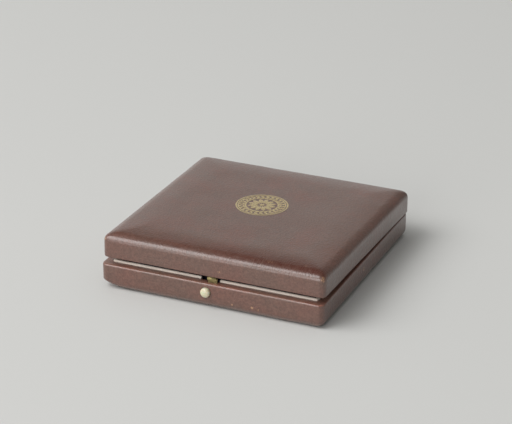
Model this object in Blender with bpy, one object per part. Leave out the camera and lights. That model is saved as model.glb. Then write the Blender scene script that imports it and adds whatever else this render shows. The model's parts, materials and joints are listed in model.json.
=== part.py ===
"""Medal presentation case: a square leather-covered box with a hinged lid and a push-button catch.

All sizes are in metres. X runs along the front, -Y is the front with the button, +Z is up, and the
origin is the centre of the base's underside. The lid rests a little ajar, on the catch's nose, and
sits a little to the right of the base.
"""

import math

import bmesh
import bpy
from mathutils import Vector

# The case as a whole
CASE_WIDTH = 0.110
CASE_DEPTH = 0.110
CORNER_RADIUS = 0.0031
CORNER_LEAST_RADIUS = 0.0008
CORNER_STEPS = 6
CORNER_WEAR = 0.0105
BASE_HEIGHT = 0.0120
SEAM = 0.0005
AJAR_ANGLE = math.radians(1.6)
CLEARANCE = 0.0003
OVERRUN = 0.002
MERGE_DISTANCE = 0.0000005
SHARP_ANGLE = math.radians(35.0)

# Leather skins
LEATHER = 0.0007
FOOT_RADIUS = 0.0042
RIM_RADIUS = 0.0005
TURN_IN = 0.012
EDGE_STEPS = 4

# Base: rails, board, lips and the medal's tray
LEDGE_DEPTH = 0.0042
BOARD_THICKNESS = 0.0022
LIP_THICKNESS = 0.0014
LIP_RISE = 0.0009
NOTCH_LEFT = -0.0062
NOTCH_WIDTH = 0.0095
PAD_DROP = 0.0015
PAD_EDGE_RADIUS = 0.0008
RECESS_RADIUS = 0.035
RECESS_FLOOR_THICKNESS = 0.0012
RECESS_STEPS = 48
FINGER_RADIUS = 0.008
FINGER_STEPS = 24

# Lid: walls, crown and lining
LID_INSET = 0.0002
LID_SHIFT = 0.0007
LID_WALL = 0.00775
SHOULDER_RADIUS = 0.0032
SHOULDER_TURN = math.radians(58.0)
SHOULDER_STEPS = 6
CROWN_RADIUS = 0.0090
CROWN_TURN = math.radians(83.5)
CROWN_STEPS = 5
DOME_RADIUS = 0.110
DOME_STEPS = 4
CROWN_BOARD = 0.0045
BORDER_THICKNESS = 0.0004
BORDER_DROP = 0.0008
LINING_CARD = 0.0007
LINING_EDGE = 0.0010
LINING_CROWN = 0.0024
LINING_DRAW_IN = 0.0006
LINING_SIDE_STEPS = 6
LINING_FALL_SHARES = (0.03, 0.08, 0.16, 0.30, 0.50, 0.74)

# Push button
BUTTON_X = -0.0021
BUTTON_HEIGHT = 0.0077
BUTTON_RADIUS = 0.0023
BUTTON_BODY = 0.0010
BUTTON_DOME = 0.0012
BUTTON_SEAT = 0.0004
BUTTON_TRAVEL = 0.0005
BUTTON_STEPS = 28
BUTTON_DOME_STEPS = 5
STUD_RADIUS = 0.0008
STUD_SHOULDER_RADIUS = 0.0014
STUD_BITE = 0.0012
STUD_HEAD_RADIUS = 0.0013
STUD_HEAD = 0.0005

# Catch: a spring strip nailed into a recess of the front rail
CATCH_X = 0.0003
CATCH_WIDTH = 0.0045
STRIP_THICKNESS = 0.0006
STRIP_EAR = 0.0019
RECESS_WEB = 0.0013
FOOT_HEIGHT = 0.0022
FOOT_START = 0.0009
NOSE_REACH = 0.0011
NOSE_FACE = 0.0009
NOSE_RUN_BACK = 0.0002
NOSE_HEADROOM = 0.0009

# Keeper: a flat brass bar across a notch in the lid's front wall
KEEPER_LENGTH = 0.014
KEEPER_SPAN = 0.0090
KEEPER_THICKNESS = 0.0006
KEEPER_SETBACK = 0.0001
KEEPER_SINK = 0.0001

# Two butt hinges let into the back
HINGE_FROM_SIDE = 0.022
HINGE_LENGTH = 0.014
BARREL_RADIUS = 0.0012
BARREL_PROUD = 0.0018
HINGE_PIN_RADIUS = 0.0005
LEAF_THICKNESS = 0.0006
MIDDLE_KNUCKLE = 0.0048
BARREL_STEPS = 20

# Small countersunk nails
NAIL_SHANK_RADIUS = 0.00035
NAIL_HEAD_RADIUS = 0.0008
NAIL_HEAD = 0.0004
NAIL_LENGTH = 0.0030
FOOT_NAIL_LENGTH = 0.0016
HINGE_NAIL_FROM_END = 0.0028
FOOT_NAIL_FROM_SIDE = 0.0011
NAIL_STEPS = 12

# Colour, roughness and metallic value of each material
FINISHES = {
    "brown_leather": ((0.13, 0.04, 0.025), 0.45, 0.0),
    "underside_paper": ((0.10, 0.04, 0.03), 0.8, 0.0),
    "beech": ((0.55, 0.38, 0.22), 0.7, 0.0),
    "cream_satin": ((0.78, 0.70, 0.60), 0.45, 0.0),
    "blue_velvet": ((0.02, 0.03, 0.12), 0.9, 0.0),
    "card": ((0.60, 0.54, 0.44), 0.8, 0.0),
    "brass": ((0.62, 0.46, 0.18), 0.35, 1.0),
    "ivory": ((0.82, 0.76, 0.58), 0.3, 0.0),
}

# Planes and levels worked out from the sizes above
HALF_WIDTH = CASE_WIDTH / 2
HALF_DEPTH = CASE_DEPTH / 2
SKIN = LEATHER + CLEARANCE
RAIL_INNER = LEDGE_DEPTH - CLEARANCE
RAIL_TOP = BASE_HEIGHT - SKIN
BOARD_TOP = SKIN + BOARD_THICKNESS
LIP_INNER = LEDGE_DEPTH + LIP_THICKNESS
LIP_TOP = BASE_HEIGHT + LIP_RISE
NOTCH_RIGHT = NOTCH_LEFT + NOTCH_WIDTH
PAD_INSET = LIP_INNER + CLEARANCE
PAD_BOTTOM = BOARD_TOP + CLEARANCE
PAD_TOP = BASE_HEIGHT - PAD_DROP

LID_RIM = BASE_HEIGHT + SEAM
LID_BORDER_INNER = RAIL_INNER - LID_INSET
LID_BORDER_OUTER = LID_BORDER_INNER - BORDER_THICKNESS
LID_RAIL_INNER = LID_BORDER_OUTER - CLEARANCE
LID_HIP_RADIUS = CORNER_RADIUS - SKIN
CROWN_CENTRE_INSET = SHOULDER_RADIUS + (CROWN_RADIUS - SHOULDER_RADIUS) * math.cos(SHOULDER_TURN)
CROWN_CENTRE_HEIGHT = LID_WALL - (CROWN_RADIUS - SHOULDER_RADIUS) * math.sin(SHOULDER_TURN)
DOME_CENTRE_INSET = CROWN_CENTRE_INSET + (DOME_RADIUS - CROWN_RADIUS) * math.cos(CROWN_TURN)
DOME_CENTRE_HEIGHT = CROWN_CENTRE_HEIGHT - (DOME_RADIUS - CROWN_RADIUS) * math.sin(CROWN_TURN)
LID_TOP = DOME_CENTRE_HEIGHT + DOME_RADIUS
CEILING = LID_TOP - SKIN - CROWN_BOARD
WALL_TOP = CEILING - CLEARANCE
CARD_BOTTOM = WALL_TOP - LINING_CARD
LINING_TOP = CARD_BOTTOM - CLEARANCE
LINING_INSET = LID_BORDER_INNER + CLEARANCE

HINGE_X = HALF_WIDTH - HINGE_FROM_SIDE
HINGE_Y = HALF_DEPTH + BARREL_PROUD - BARREL_RADIUS
HINGE_Z = BASE_HEIGHT + SEAM / 2
BARREL_CUT = BARREL_RADIUS + CLEARANCE
LEAF_START = HALF_DEPTH - RAIL_INNER + BORDER_THICKNESS + CLEARANCE
LEAF_END = HINGE_Y - BARREL_CUT
BASE_LEAF_BOTTOM = RAIL_TOP + CLEARANCE
LID_LEAF_TOP = LID_RIM + SKIN - CLEARANCE
LID_RAIL_MIDDLE = (SKIN + LID_RAIL_INNER) / 2 + LID_INSET
HINGE_NAIL_Y = HALF_DEPTH - LID_RAIL_MIDDLE
HINGE_NAIL_SPREAD = HINGE_LENGTH / 2 - HINGE_NAIL_FROM_END

RECESS_FACE = SKIN + RECESS_WEB - HALF_DEPTH
STRIP_FRONT = RECESS_FACE + CLEARANCE
STRIP_BACK = STRIP_FRONT + STRIP_THICKNESS
FOOT_BOTTOM = SKIN + FOOT_START
FOOT_TOP = FOOT_BOTTOM + FOOT_HEIGHT
FLEX_Z = FOOT_TOP + CLEARANCE
FLEX_Y = (STRIP_FRONT + STRIP_BACK) / 2
STRIP_LEFT = min(CATCH_X - CATCH_WIDTH / 2, BUTTON_X - STRIP_EAR)
STRIP_RIGHT = CATCH_X + CATCH_WIDTH / 2
EAR_TOP = BUTTON_HEIGHT + STRIP_EAR
KEEPER_BOTTOM = KEEPER_SINK
KEEPER_TOP = KEEPER_BOTTOM + KEEPER_THICKNESS
KEEPER_FRONT = LID_INSET + SKIN + KEEPER_SETBACK - HALF_DEPTH
KEEPER_BACK = LID_INSET + LID_RAIL_INNER - HALF_DEPTH
BAR_BACK = RECESS_FACE
NOSE_BOTTOM = LID_RIM + KEEPER_TOP + CLEARANCE
AJAR_KEEPER = HINGE_Z + (LID_RIM + KEEPER_BOTTOM - HINGE_Z) * math.cos(AJAR_ANGLE)
NOSE_TOP = AJAR_KEEPER + (HINGE_Y - BAR_BACK) * math.sin(AJAR_ANGLE) - CLEARANCE
NOTCH_TOP = NOSE_TOP - LID_RIM + NOSE_HEADROOM

SIDES = ("front", "back", "left", "right")


def clear_scene():
    for obj in list(bpy.data.objects):
        bpy.data.objects.remove(obj, do_unlink=True)


def finish(name):
    """The named material, made once."""
    found = bpy.data.materials.get(name)
    if found:
        return found
    colour, roughness, metallic = FINISHES[name]
    made = bpy.data.materials.new(name)
    made.use_nodes = True
    shader = made.node_tree.nodes["Principled BSDF"]
    shader.inputs["Base Color"].default_value = (*colour, 1.0)
    shader.inputs["Roughness"].default_value = roughness
    shader.inputs["Metallic"].default_value = metallic
    made.diffuse_color = (*colour, 1.0)
    return made


def add_object(name, bm, material=None, parent=None):
    """Closes a bmesh into an object: smooth where round, sharp where flats meet."""
    bmesh.ops.remove_doubles(bm, verts=bm.verts, dist=MERGE_DISTANCE)
    bmesh.ops.recalc_face_normals(bm, faces=bm.faces)
    mesh = bpy.data.meshes.new(name)
    bm.to_mesh(mesh)
    bm.free()
    obj = bpy.data.objects.new(name, mesh)
    bpy.context.collection.objects.link(obj)
    if material:
        mesh.materials.append(finish(material))
        mesh.shade_smooth()
        mesh.set_sharp_from_angle(angle=SHARP_ANGLE)
    if parent:
        obj.parent = parent
        obj.location = parent["carries_at"]
    return obj


def add_pivot(name, place, carries_at, turn_x):
    """An empty on a joint's axis, which carries pieces modelled around the point carries_at."""
    pivot = bpy.data.objects.new(name, None)
    bpy.context.collection.objects.link(pivot)
    pivot.location = place
    pivot.rotation_euler = (turn_x, 0.0, 0.0)
    pivot["carries_at"] = carries_at
    return pivot


def as_cutter(obj):
    obj.hide_render = True
    obj.display_type = "WIRE"
    return obj


def apply_cutter(obj, cutter, operation="DIFFERENCE"):
    modifier = obj.modifiers.new(f"{operation.lower()}_{cutter.name}", "BOOLEAN")
    modifier.operation = operation
    modifier.solver = "EXACT"
    modifier.object = cutter


def box(name, low, high, material=None, parent=None):
    """A box between two corners."""
    bm = bmesh.new()
    bmesh.ops.create_cube(bm, size=1.0)
    middle = (Vector(low) + Vector(high)) / 2
    size = Vector(high) - Vector(low)
    bmesh.ops.scale(bm, vec=size, verts=bm.verts)
    bmesh.ops.translate(bm, vec=middle, verts=bm.verts)
    return add_object(name, bm, material, parent)


def prism(name, outline, start_x, end_x, material=None, parent=None):
    """An outline of (y, z) points, extruded along X."""
    bm = bmesh.new()
    face = bm.faces.new([bm.verts.new((start_x, y, z)) for y, z in outline])
    grown = bmesh.ops.extrude_face_region(bm, geom=[face])
    moved = [item for item in grown["geom"] if isinstance(item, bmesh.types.BMVert)]
    bmesh.ops.translate(bm, vec=(end_x - start_x, 0.0, 0.0), verts=moved)
    return add_object(name, bm, material, parent)


def plate(name, plan, bottom, thickness, material=None, parent=None):
    """A plan of (x, y) points, extruded upwards."""
    bm = bmesh.new()
    face = bm.faces.new([bm.verts.new((x, y, bottom)) for x, y in plan])
    grown = bmesh.ops.extrude_face_region(bm, geom=[face])
    moved = [item for item in grown["geom"] if isinstance(item, bmesh.types.BMVert)]
    bmesh.ops.translate(bm, vec=(0.0, 0.0, thickness), verts=moved)
    return add_object(name, bm, material, parent)


def turned(name, profile, steps, axis, centre, material=None, parent=None):
    """A profile of (radius, along) points that starts and ends on the axis, spun round it."""
    along = Vector(axis)
    out = along.orthogonal().normalized()
    bm = bmesh.new()
    verts = [bm.verts.new(Vector(centre) + out * radius + along * reach) for radius, reach in profile]
    edges = [bm.edges.new(pair) for pair in zip(verts, verts[1:])]
    bmesh.ops.spin(
        bm,
        geom=verts + edges,
        cent=centre,
        axis=along,
        angle=math.tau,
        steps=steps,
        use_merge=True,
    )
    return add_object(name, bm, material, parent)


def drum(name, radius, start, end, steps, axis, centre, material=None, parent=None):
    """A plain cylinder from start to end along its axis."""
    profile = [(0.0, start), (radius, start), (radius, end), (0.0, end)]
    return turned(name, profile, steps, axis, centre, material, parent)


def x_drum(name, radius, start, end, height, parent=None, material=None):
    """A cylinder along the hinges' axis, at a height."""
    centre = (0.0, HINGE_Y, height)
    return drum(name, radius, start, end, BARREL_STEPS, (1.0, 0.0, 0.0), centre, material, parent)


def wear(height):
    """How much rounder than the others the base's front left corner is, worn away at its foot."""
    return CORNER_WEAR * min(1.0, max(0.0, 1 - height / FOOT_RADIUS))


def ring_points(
    inset,
    height,
    outer_inset=0.0,
    bow=0.0,
    side_steps=1,
    radius=None,
    shift=0.0,
    worn=0.0,
):
    """One rounded rectangle of the case's plan, so far in from its sides, at a height."""
    half_x = HALF_WIDTH - outer_inset - inset
    half_y = HALF_DEPTH - outer_inset - inset
    if radius is None:
        radius = max(CORNER_RADIUS - inset, CORNER_LEAST_RADIUS)
    points = []
    for quarter in range(4):
        turn = quarter * math.pi / 2
        sign_x = 1 if quarter in (0, 3) else -1
        sign_y = 1 if quarter in (0, 1) else -1
        corner = radius + worn if sign_x < 0 and sign_y < 0 else radius
        centre = Vector((sign_x * (half_x - corner) + shift, sign_y * (half_y - corner), height))
        for step in range(CORNER_STEPS + 1):
            angle = turn + step * math.pi / 2 / CORNER_STEPS
            points.append(centre + Vector((math.cos(angle), math.sin(angle), 0.0)) * corner)
        run = (half_x if quarter in (0, 2) else half_y) - radius
        ahead = Vector((-math.sin(turn + math.pi / 2), math.cos(turn + math.pi / 2), 0.0))
        inward = Vector((-math.cos(turn + math.pi / 2), -math.sin(turn + math.pi / 2), 0.0))
        start = points[-1]
        for step in range(1, side_steps):
            share = step / side_steps
            sag = bow * 4 * share * (1 - share)
            points.append(start + ahead * run * 2 * share + inward * sag)
    return points


def loft(name, rings, closed, material=None, parent=None):
    """Joins rings of points one to the next; the last meets the first, or both ends are capped."""
    bm = bmesh.new()
    loops = [[bm.verts.new(point) for point in ring] for ring in rings]
    pairs = list(zip(loops, loops[1:]))
    if closed:
        pairs.append((loops[-1], loops[0]))
    else:
        bm.faces.new(loops[0])
        bm.faces.new(loops[-1])
    for lower, upper in pairs:
        for i in range(len(lower)):
            j = (i + 1) % len(lower)
            bm.faces.new((lower[i], lower[j], upper[j], upper[i]))
    return add_object(name, bm, material, parent)


def arc(centre_inset, centre_height, radius, start, end, steps):
    """(inset, height) points on an arc; an angle of zero points outwards and a quarter turn up."""
    points = []
    for step in range(steps + 1):
        angle = start + (end - start) * step / steps
        inset = centre_inset - radius * math.cos(angle)
        points.append((inset, centre_height + radius * math.sin(angle)))
    return points


def crown_path(offset):
    """The lid's outer shape from wall to flat top, so far in under its surface."""
    centre = (SHOULDER_RADIUS, LID_WALL)
    shoulder = arc(*centre, SHOULDER_RADIUS - offset, 0.0, SHOULDER_TURN, SHOULDER_STEPS)
    centre = (CROWN_CENTRE_INSET, CROWN_CENTRE_HEIGHT)
    crown = arc(*centre, CROWN_RADIUS - offset, SHOULDER_TURN, CROWN_TURN, CROWN_STEPS)
    centre = (DOME_CENTRE_INSET, DOME_CENTRE_HEIGHT)
    dome = arc(*centre, DOME_RADIUS - offset, CROWN_TURN, math.pi / 2, DOME_STEPS)
    return shoulder + crown[1:] + dome[1:]


def lid_rings(path):
    """Rings of the lid's skin or crown, whose hips stay rounded from the rim up to the top."""
    rings = []
    for inset, height in path:
        least = LID_HIP_RADIUS if height > LEATHER else CORNER_LEAST_RADIUS
        radius = max(CORNER_RADIUS - inset, least)
        rings.append(ring_points(inset, height, LID_INSET, radius=radius, shift=LID_SHIFT))
    return rings


def side_wedge(name, side, outer_inset, parent, shift):
    """A mitred prism over one side of the case, which parts it from its neighbours."""
    low = -OVERRUN
    high = BASE_HEIGHT + LID_TOP
    half_x = HALF_WIDTH - outer_inset
    half_y = HALF_DEPTH - outer_inset
    reach = LIP_INNER + OVERRUN
    trim = CLEARANCE / math.sqrt(2)
    across = half_x if side in ("front", "back") else half_y
    away = half_y if side in ("front", "back") else half_x
    wide = across + OVERRUN - trim
    narrow = across - reach - trim
    outer = away + OVERRUN
    inner = away - reach
    corners = [(-wide, outer), (wide, outer), (narrow, inner), (-narrow, inner)]
    if side == "front":
        plan = [(x, -y) for x, y in corners]
    elif side == "back":
        plan = [(-x, y) for x, y in corners]
    elif side == "left":
        plan = [(-y, -x) for x, y in corners]
    else:
        plan = [(y, x) for x, y in corners]
    rings = [[Vector((x + shift, y, z)) for x, y in plan] for z in (low, high)]
    return as_cutter(loft(name, rings, False, parent=parent))


def frame_side(name, section, side, material, outer_inset=0.0, parent=None, shift=0.0, worn=None):
    """One mitred side of a frame whose section is (inset, height) points.

    Where the front left corner is worn, worn is how much at each point of the section.
    """
    extras = worn or [0.0] * len(section)
    rings = []
    for (inset, height), extra in zip(section, extras):
        rings.append(ring_points(inset, height, outer_inset, shift=shift, worn=extra))
    obj = loft(name, rings, True, material, parent)
    apply_cutter(obj, side_wedge(f"wedge_{name}", side, outer_inset, parent, shift), "INTERSECT")
    return obj


def nail_profile(length, clearance=0.0):
    """A countersunk nail, its head at zero and its point at length, or the hole that clears it."""
    slope = (NAIL_HEAD_RADIUS - NAIL_SHANK_RADIUS) / NAIL_HEAD
    head = NAIL_HEAD_RADIUS + clearance + slope * clearance
    shank = NAIL_SHANK_RADIUS + clearance
    point = length + clearance
    return [(0.0, -clearance), (head, -clearance), (shank, NAIL_HEAD), (shank, point), (0.0, point)]


def nail(name, place, axis, length, holders, parent=None):
    """A nail and its clear hole through each piece that it holds."""
    hole = turned(f"hole_{name}", nail_profile(length, CLEARANCE), NAIL_STEPS, axis, place, parent=parent)
    as_cutter(hole)
    for holder in holders:
        apply_cutter(holder, hole)
    return turned(name, nail_profile(length), NAIL_STEPS, axis, place, "brass", parent)


def make_base_leather():
    """The skin round the base: turned in below the rails, up the walls and over the ledge."""
    skin = [(TURN_IN, 0.0)]
    skin += arc(FOOT_RADIUS, FOOT_RADIUS, FOOT_RADIUS, -math.pi / 2, 0.0, EDGE_STEPS)
    skin += arc(RIM_RADIUS, BASE_HEIGHT - RIM_RADIUS, RIM_RADIUS, 0.0, math.pi / 2, EDGE_STEPS)
    skin += [(RAIL_INNER, BASE_HEIGHT), (RAIL_INNER, BASE_HEIGHT - LEATHER)]
    skin += [(LEATHER, BASE_HEIGHT - LEATHER)]
    skin += arc(FOOT_RADIUS, FOOT_RADIUS, FOOT_RADIUS - LEATHER, 0.0, -math.pi / 2, EDGE_STEPS)
    skin += [(TURN_IN, LEATHER)]
    rings = []
    for inset, height in skin:
        worn = wear(height) if inset < TURN_IN else 0.0
        rings.append(ring_points(inset, height, worn=worn))
    return loft("base_leather", rings, True, "brown_leather")


def make_base_rails():
    """Four mitred wooden rails, rounded along their lower outer edge."""
    foot = FOOT_RADIUS - SKIN
    cut_off = math.acos(max(0.0, (FOOT_RADIUS - RAIL_INNER) / foot))
    section = arc(FOOT_RADIUS, FOOT_RADIUS, foot, -cut_off, 0.0, EDGE_STEPS)
    worn = [wear(height) for inset, height in section]
    section += [(SKIN, RAIL_TOP), (RAIL_INNER, RAIL_TOP), (RAIL_INNER, FOOT_RADIUS / 2)]
    worn += [0.0, 0.0, 0.0]
    rails = {}
    for side in SIDES:
        rails[side] = frame_side(f"base_rail_{side}", section, side, "beech", worn=worn)
    return rails


def make_base_board():
    rings = [ring_points(LEDGE_DEPTH, height, worn=wear(height)) for height in (SKIN, BOARD_TOP)]
    return loft("base_board", rings, False, "beech")


def make_underside_panel():
    """The paper panel inside the leather's turned-in edge, flush with it."""
    rings = [ring_points(TURN_IN + CLEARANCE, height) for height in (0.0, LEATHER)]
    return loft("underside_panel", rings, False, "underside_paper")


def make_lips():
    """The satin-covered lips that stand inside the ledge; the front one is parted by a notch."""
    bend = LIP_THICKNESS / 2
    round_top = arc(LEDGE_DEPTH + bend, LIP_TOP - bend, bend, 0.0, math.pi, EDGE_STEPS * 2)
    section = [(LEDGE_DEPTH, PAD_BOTTOM)] + round_top + [(LIP_INNER, PAD_BOTTOM)]
    for side in ("back", "left", "right"):
        frame_side(f"lip_{side}", section, side, "cream_satin")
    ends = {"left": (NOTCH_LEFT, HALF_WIDTH), "right": (-HALF_WIDTH, NOTCH_RIGHT)}
    for name, (low_x, high_x) in ends.items():
        lip = frame_side(f"lip_front_{name}", section, "front", "cream_satin")
        low = (low_x, -HALF_DEPTH, -OVERRUN)
        high = (high_x, -HALF_DEPTH + LIP_INNER + OVERRUN, LIP_TOP + OVERRUN)
        apply_cutter(lip, as_cutter(box(f"clip_lip_front_{name}", low, high)))


def make_medal_pad():
    """The velvet tray with its round recess and the finger cut in front of it, and its floor."""
    centre = (PAD_INSET + PAD_EDGE_RADIUS, PAD_TOP - PAD_EDGE_RADIUS)
    edge = arc(*centre, PAD_EDGE_RADIUS, 0.0, math.pi / 2, EDGE_STEPS)
    rings = [ring_points(inset, height) for inset, height in [(PAD_INSET, PAD_BOTTOM)] + edge]
    pad = loft("medal_pad", rings, False, "blue_velvet")
    cuts = {
        "recess": (RECESS_RADIUS, 0.0, RECESS_STEPS),
        "finger": (FINGER_RADIUS, -RECESS_RADIUS, FINGER_STEPS),
    }
    for name, (radius, centre_y, steps) in cuts.items():
        profile = [(0.0, PAD_BOTTOM - OVERRUN), (radius, PAD_BOTTOM - OVERRUN)]
        for step in range(EDGE_STEPS + 1):
            angle = step * math.pi / 2 / EDGE_STEPS
            flare = radius + PAD_EDGE_RADIUS * (1 - math.cos(angle))
            profile.append((flare, PAD_TOP - PAD_EDGE_RADIUS * (1 - math.sin(angle))))
        profile += [(radius + PAD_EDGE_RADIUS, PAD_TOP + OVERRUN), (0.0, PAD_TOP + OVERRUN)]
        cutter = turned(f"{name}_cut", profile, steps, (0.0, 0.0, 1.0), (0.0, centre_y, 0.0))
        apply_cutter(pad, as_cutter(cutter))
    floor_top = PAD_BOTTOM + RECESS_FLOOR_THICKNESS
    drum(
        "recess_floor",
        RECESS_RADIUS - CLEARANCE,
        PAD_BOTTOM,
        floor_top,
        RECESS_STEPS,
        (0.0, 0.0, 1.0),
        (0.0, 0.0, 0.0),
        "blue_velvet",
    )


def make_lid_leather(lid):
    """One skin over the lid: flat top, rounded crown, walls, and turned in under the rim."""
    inner = [(LID_RAIL_INNER, LEATHER), (LEATHER, LEATHER)] + crown_path(LEATHER)
    rim = arc(RIM_RADIUS, RIM_RADIUS, RIM_RADIUS, -math.pi / 2, 0.0, EDGE_STEPS)
    outer = [(LID_RAIL_INNER, 0.0)] + rim + crown_path(0.0)
    path = list(reversed(inner)) + outer
    return loft("lid_leather", lid_rings(path), False, "brown_leather", lid)


def make_lid_crown(lid):
    """The shaped wooden top of the lid."""
    path = [(SKIN, CEILING)] + crown_path(SKIN)
    return loft("lid_crown", lid_rings(path), False, "beech", lid)


def make_lid_rails(lid):
    section = [(SKIN, SKIN), (SKIN, WALL_TOP), (LID_RAIL_INNER, WALL_TOP), (LID_RAIL_INNER, SKIN)]
    place = (LID_INSET, lid, LID_SHIFT)
    return {side: frame_side(f"lid_rail_{side}", section, side, "beech", *place) for side in SIDES}


def make_lid_borders(lid):
    """Satin strips that line the lid's walls."""
    section = [
        (LID_BORDER_OUTER, BORDER_DROP),
        (LID_BORDER_OUTER, WALL_TOP),
        (LID_BORDER_INNER, WALL_TOP),
        (LID_BORDER_INNER, BORDER_DROP),
    ]
    place = (LID_INSET, lid, LID_SHIFT)
    return {side: frame_side(f"lid_border_{side}", section, side, "cream_satin", *place) for side in SIDES}


def make_lining(lid):
    """The card in the lid's ceiling and the satin pad on it: crowned, with sides drawn in."""
    card = []
    for height in (CARD_BOTTOM, WALL_TOP):
        card.append(ring_points(LINING_INSET, height, LID_INSET, shift=LID_SHIFT))
    loft("lining_card", card, False, "card", lid)
    half = min(HALF_WIDTH, HALF_DEPTH) - LINING_INSET - LID_INSET
    path = [(LINING_EDGE, LINING_TOP), (0.0, LINING_TOP - LINING_EDGE / 2)]
    for share in LINING_FALL_SHARES:
        fall = math.sin(math.pi / 2 * share / LINING_FALL_SHARES[-1]) ** 0.5
        path.append((half * share, LINING_TOP - LINING_EDGE - LINING_CROWN * fall))
    rings = []
    for inset, height in path:
        bow = LINING_DRAW_IN * max(0.0, 1 - inset / half)
        radius = min(CORNER_RADIUS + inset / 2, half - inset)
        place = (LINING_INSET + inset, height, LID_INSET)
        rings.append(ring_points(*place, bow, LINING_SIDE_STEPS, radius, LID_SHIFT))
    return loft("lining_pad", rings, False, "cream_satin", lid)


def make_button(leather, rail):
    """The domed plunger, the brass stud whose shoulder pushes the strip, and their hole."""
    face = Vector((BUTTON_X, -HALF_DEPTH, BUTTON_HEIGHT))
    inwards = (0.0, 1.0, 0.0)
    body_end = BUTTON_SEAT
    dome_start = BUTTON_SEAT - BUTTON_BODY
    bite_end = body_end - STUD_BITE - CLEARANCE
    bore = STUD_RADIUS + CLEARANCE
    profile = [(0.0, bite_end), (bore, bite_end), (bore, body_end), (BUTTON_RADIUS, body_end)]
    for step in range(BUTTON_DOME_STEPS + 1):
        angle = step * math.pi / 2 / BUTTON_DOME_STEPS
        profile.append((BUTTON_RADIUS * math.cos(angle), dome_start - BUTTON_DOME * math.sin(angle)))
    cap = turned("button_cap", profile, BUTTON_STEPS, inwards, (0.0, 0.0, 0.0), "ivory")
    cap.location = face
    shoulder_start = body_end + CLEARANCE
    shoulder_end = STRIP_FRONT - CLEARANCE + HALF_DEPTH
    head_start = STRIP_BACK + CLEARANCE + HALF_DEPTH
    head_end = head_start + STUD_HEAD
    stud_start = body_end - STUD_BITE
    profile = [
        (0.0, stud_start),
        (STUD_RADIUS, stud_start),
        (STUD_RADIUS, shoulder_start),
        (STUD_SHOULDER_RADIUS, shoulder_start),
        (STUD_SHOULDER_RADIUS, shoulder_end),
        (STUD_RADIUS, shoulder_end),
        (STUD_RADIUS, head_start),
        (STUD_HEAD_RADIUS, head_start),
        (STUD_HEAD_RADIUS, head_end - STUD_HEAD / 2),
        (STUD_RADIUS, head_end),
        (0.0, head_end),
    ]
    stud = turned("button_stud", profile, BUTTON_STEPS, inwards, (0.0, 0.0, 0.0), "brass")
    stud.location = face
    wide_end = body_end + BUTTON_TRAVEL + CLEARANCE
    guide = max(STUD_SHOULDER_RADIUS, STUD_HEAD_RADIUS) + CLEARANCE
    profile = [
        (0.0, -OVERRUN),
        (BUTTON_RADIUS + CLEARANCE, -OVERRUN),
        (BUTTON_RADIUS + CLEARANCE, wide_end),
        (guide, wide_end),
        (guide, LEDGE_DEPTH + OVERRUN),
        (0.0, LEDGE_DEPTH + OVERRUN),
    ]
    hole = as_cutter(turned("button_hole", profile, BUTTON_STEPS, inwards, face))
    apply_cutter(leather, hole)
    apply_cutter(rail, hole)


def make_catch(leather, rail):
    """The spring strip: its nailed foot, and above the bend the blade with its forward nose.

    The blade has an ear for the stud and is narrower above it, where it stands up in the lip's notch.
    """
    nose_left = CATCH_X - CATCH_WIDTH / 2
    low = (STRIP_LEFT - CLEARANCE, RECESS_FACE, FOOT_BOTTOM - CLEARANCE)
    high = (STRIP_RIGHT + CLEARANCE, -HALF_DEPTH + LEDGE_DEPTH + OVERRUN, BASE_HEIGHT + OVERRUN)
    recess = as_cutter(box("catch_recess", low, high))
    apply_cutter(rail, recess)
    slot_low = (nose_left - CLEARANCE, RECESS_FACE, RAIL_TOP - CLEARANCE)
    apply_cutter(leather, as_cutter(box("catch_slot", slot_low, high)))
    foot_low = (STRIP_LEFT, STRIP_FRONT, FOOT_BOTTOM)
    foot_high = (STRIP_RIGHT, STRIP_BACK, FOOT_TOP)
    foot = box("catch_foot", foot_low, foot_high, "brass")
    nail_places = {"left": STRIP_LEFT + FOOT_NAIL_FROM_SIDE, "right": STRIP_RIGHT - FOOT_NAIL_FROM_SIDE}
    for name, nail_x in nail_places.items():
        place = (nail_x, STRIP_BACK, (FOOT_BOTTOM + FOOT_TOP) / 2)
        nail(f"catch_nail_{name}", place, (0.0, -1.0, 0.0), FOOT_NAIL_LENGTH, (foot, rail))
    flex = add_pivot("catch_flex", (0.0, FLEX_Y, FLEX_Z), (0.0, -FLEX_Y, -FLEX_Z), 0.0)
    nose_front = STRIP_FRONT - NOSE_REACH
    outline = [
        (STRIP_FRONT, FLEX_Z),
        (STRIP_FRONT, NOSE_BOTTOM),
        (nose_front, NOSE_BOTTOM),
        (nose_front, NOSE_BOTTOM + NOSE_FACE),
        (STRIP_FRONT - NOSE_RUN_BACK, NOSE_TOP),
        (STRIP_BACK, NOSE_TOP),
        (STRIP_BACK, FLEX_Z),
    ]
    strip = prism("catch_strip", outline, STRIP_LEFT, STRIP_RIGHT, "brass", flex)
    cut_low = (STRIP_LEFT - OVERRUN, nose_front - OVERRUN, EAR_TOP)
    cut_high = (nose_left, STRIP_BACK + OVERRUN, NOSE_TOP + OVERRUN)
    apply_cutter(strip, as_cutter(box("ear_cut", cut_low, cut_high, parent=flex)))
    hole = drum(
        "stud_hole",
        STUD_RADIUS + CLEARANCE,
        STRIP_FRONT - OVERRUN,
        STRIP_BACK + OVERRUN,
        BUTTON_STEPS,
        (0.0, 1.0, 0.0),
        (BUTTON_X, 0.0, BUTTON_HEIGHT),
        parent=flex,
    )
    apply_cutter(strip, as_cutter(hole))


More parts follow.
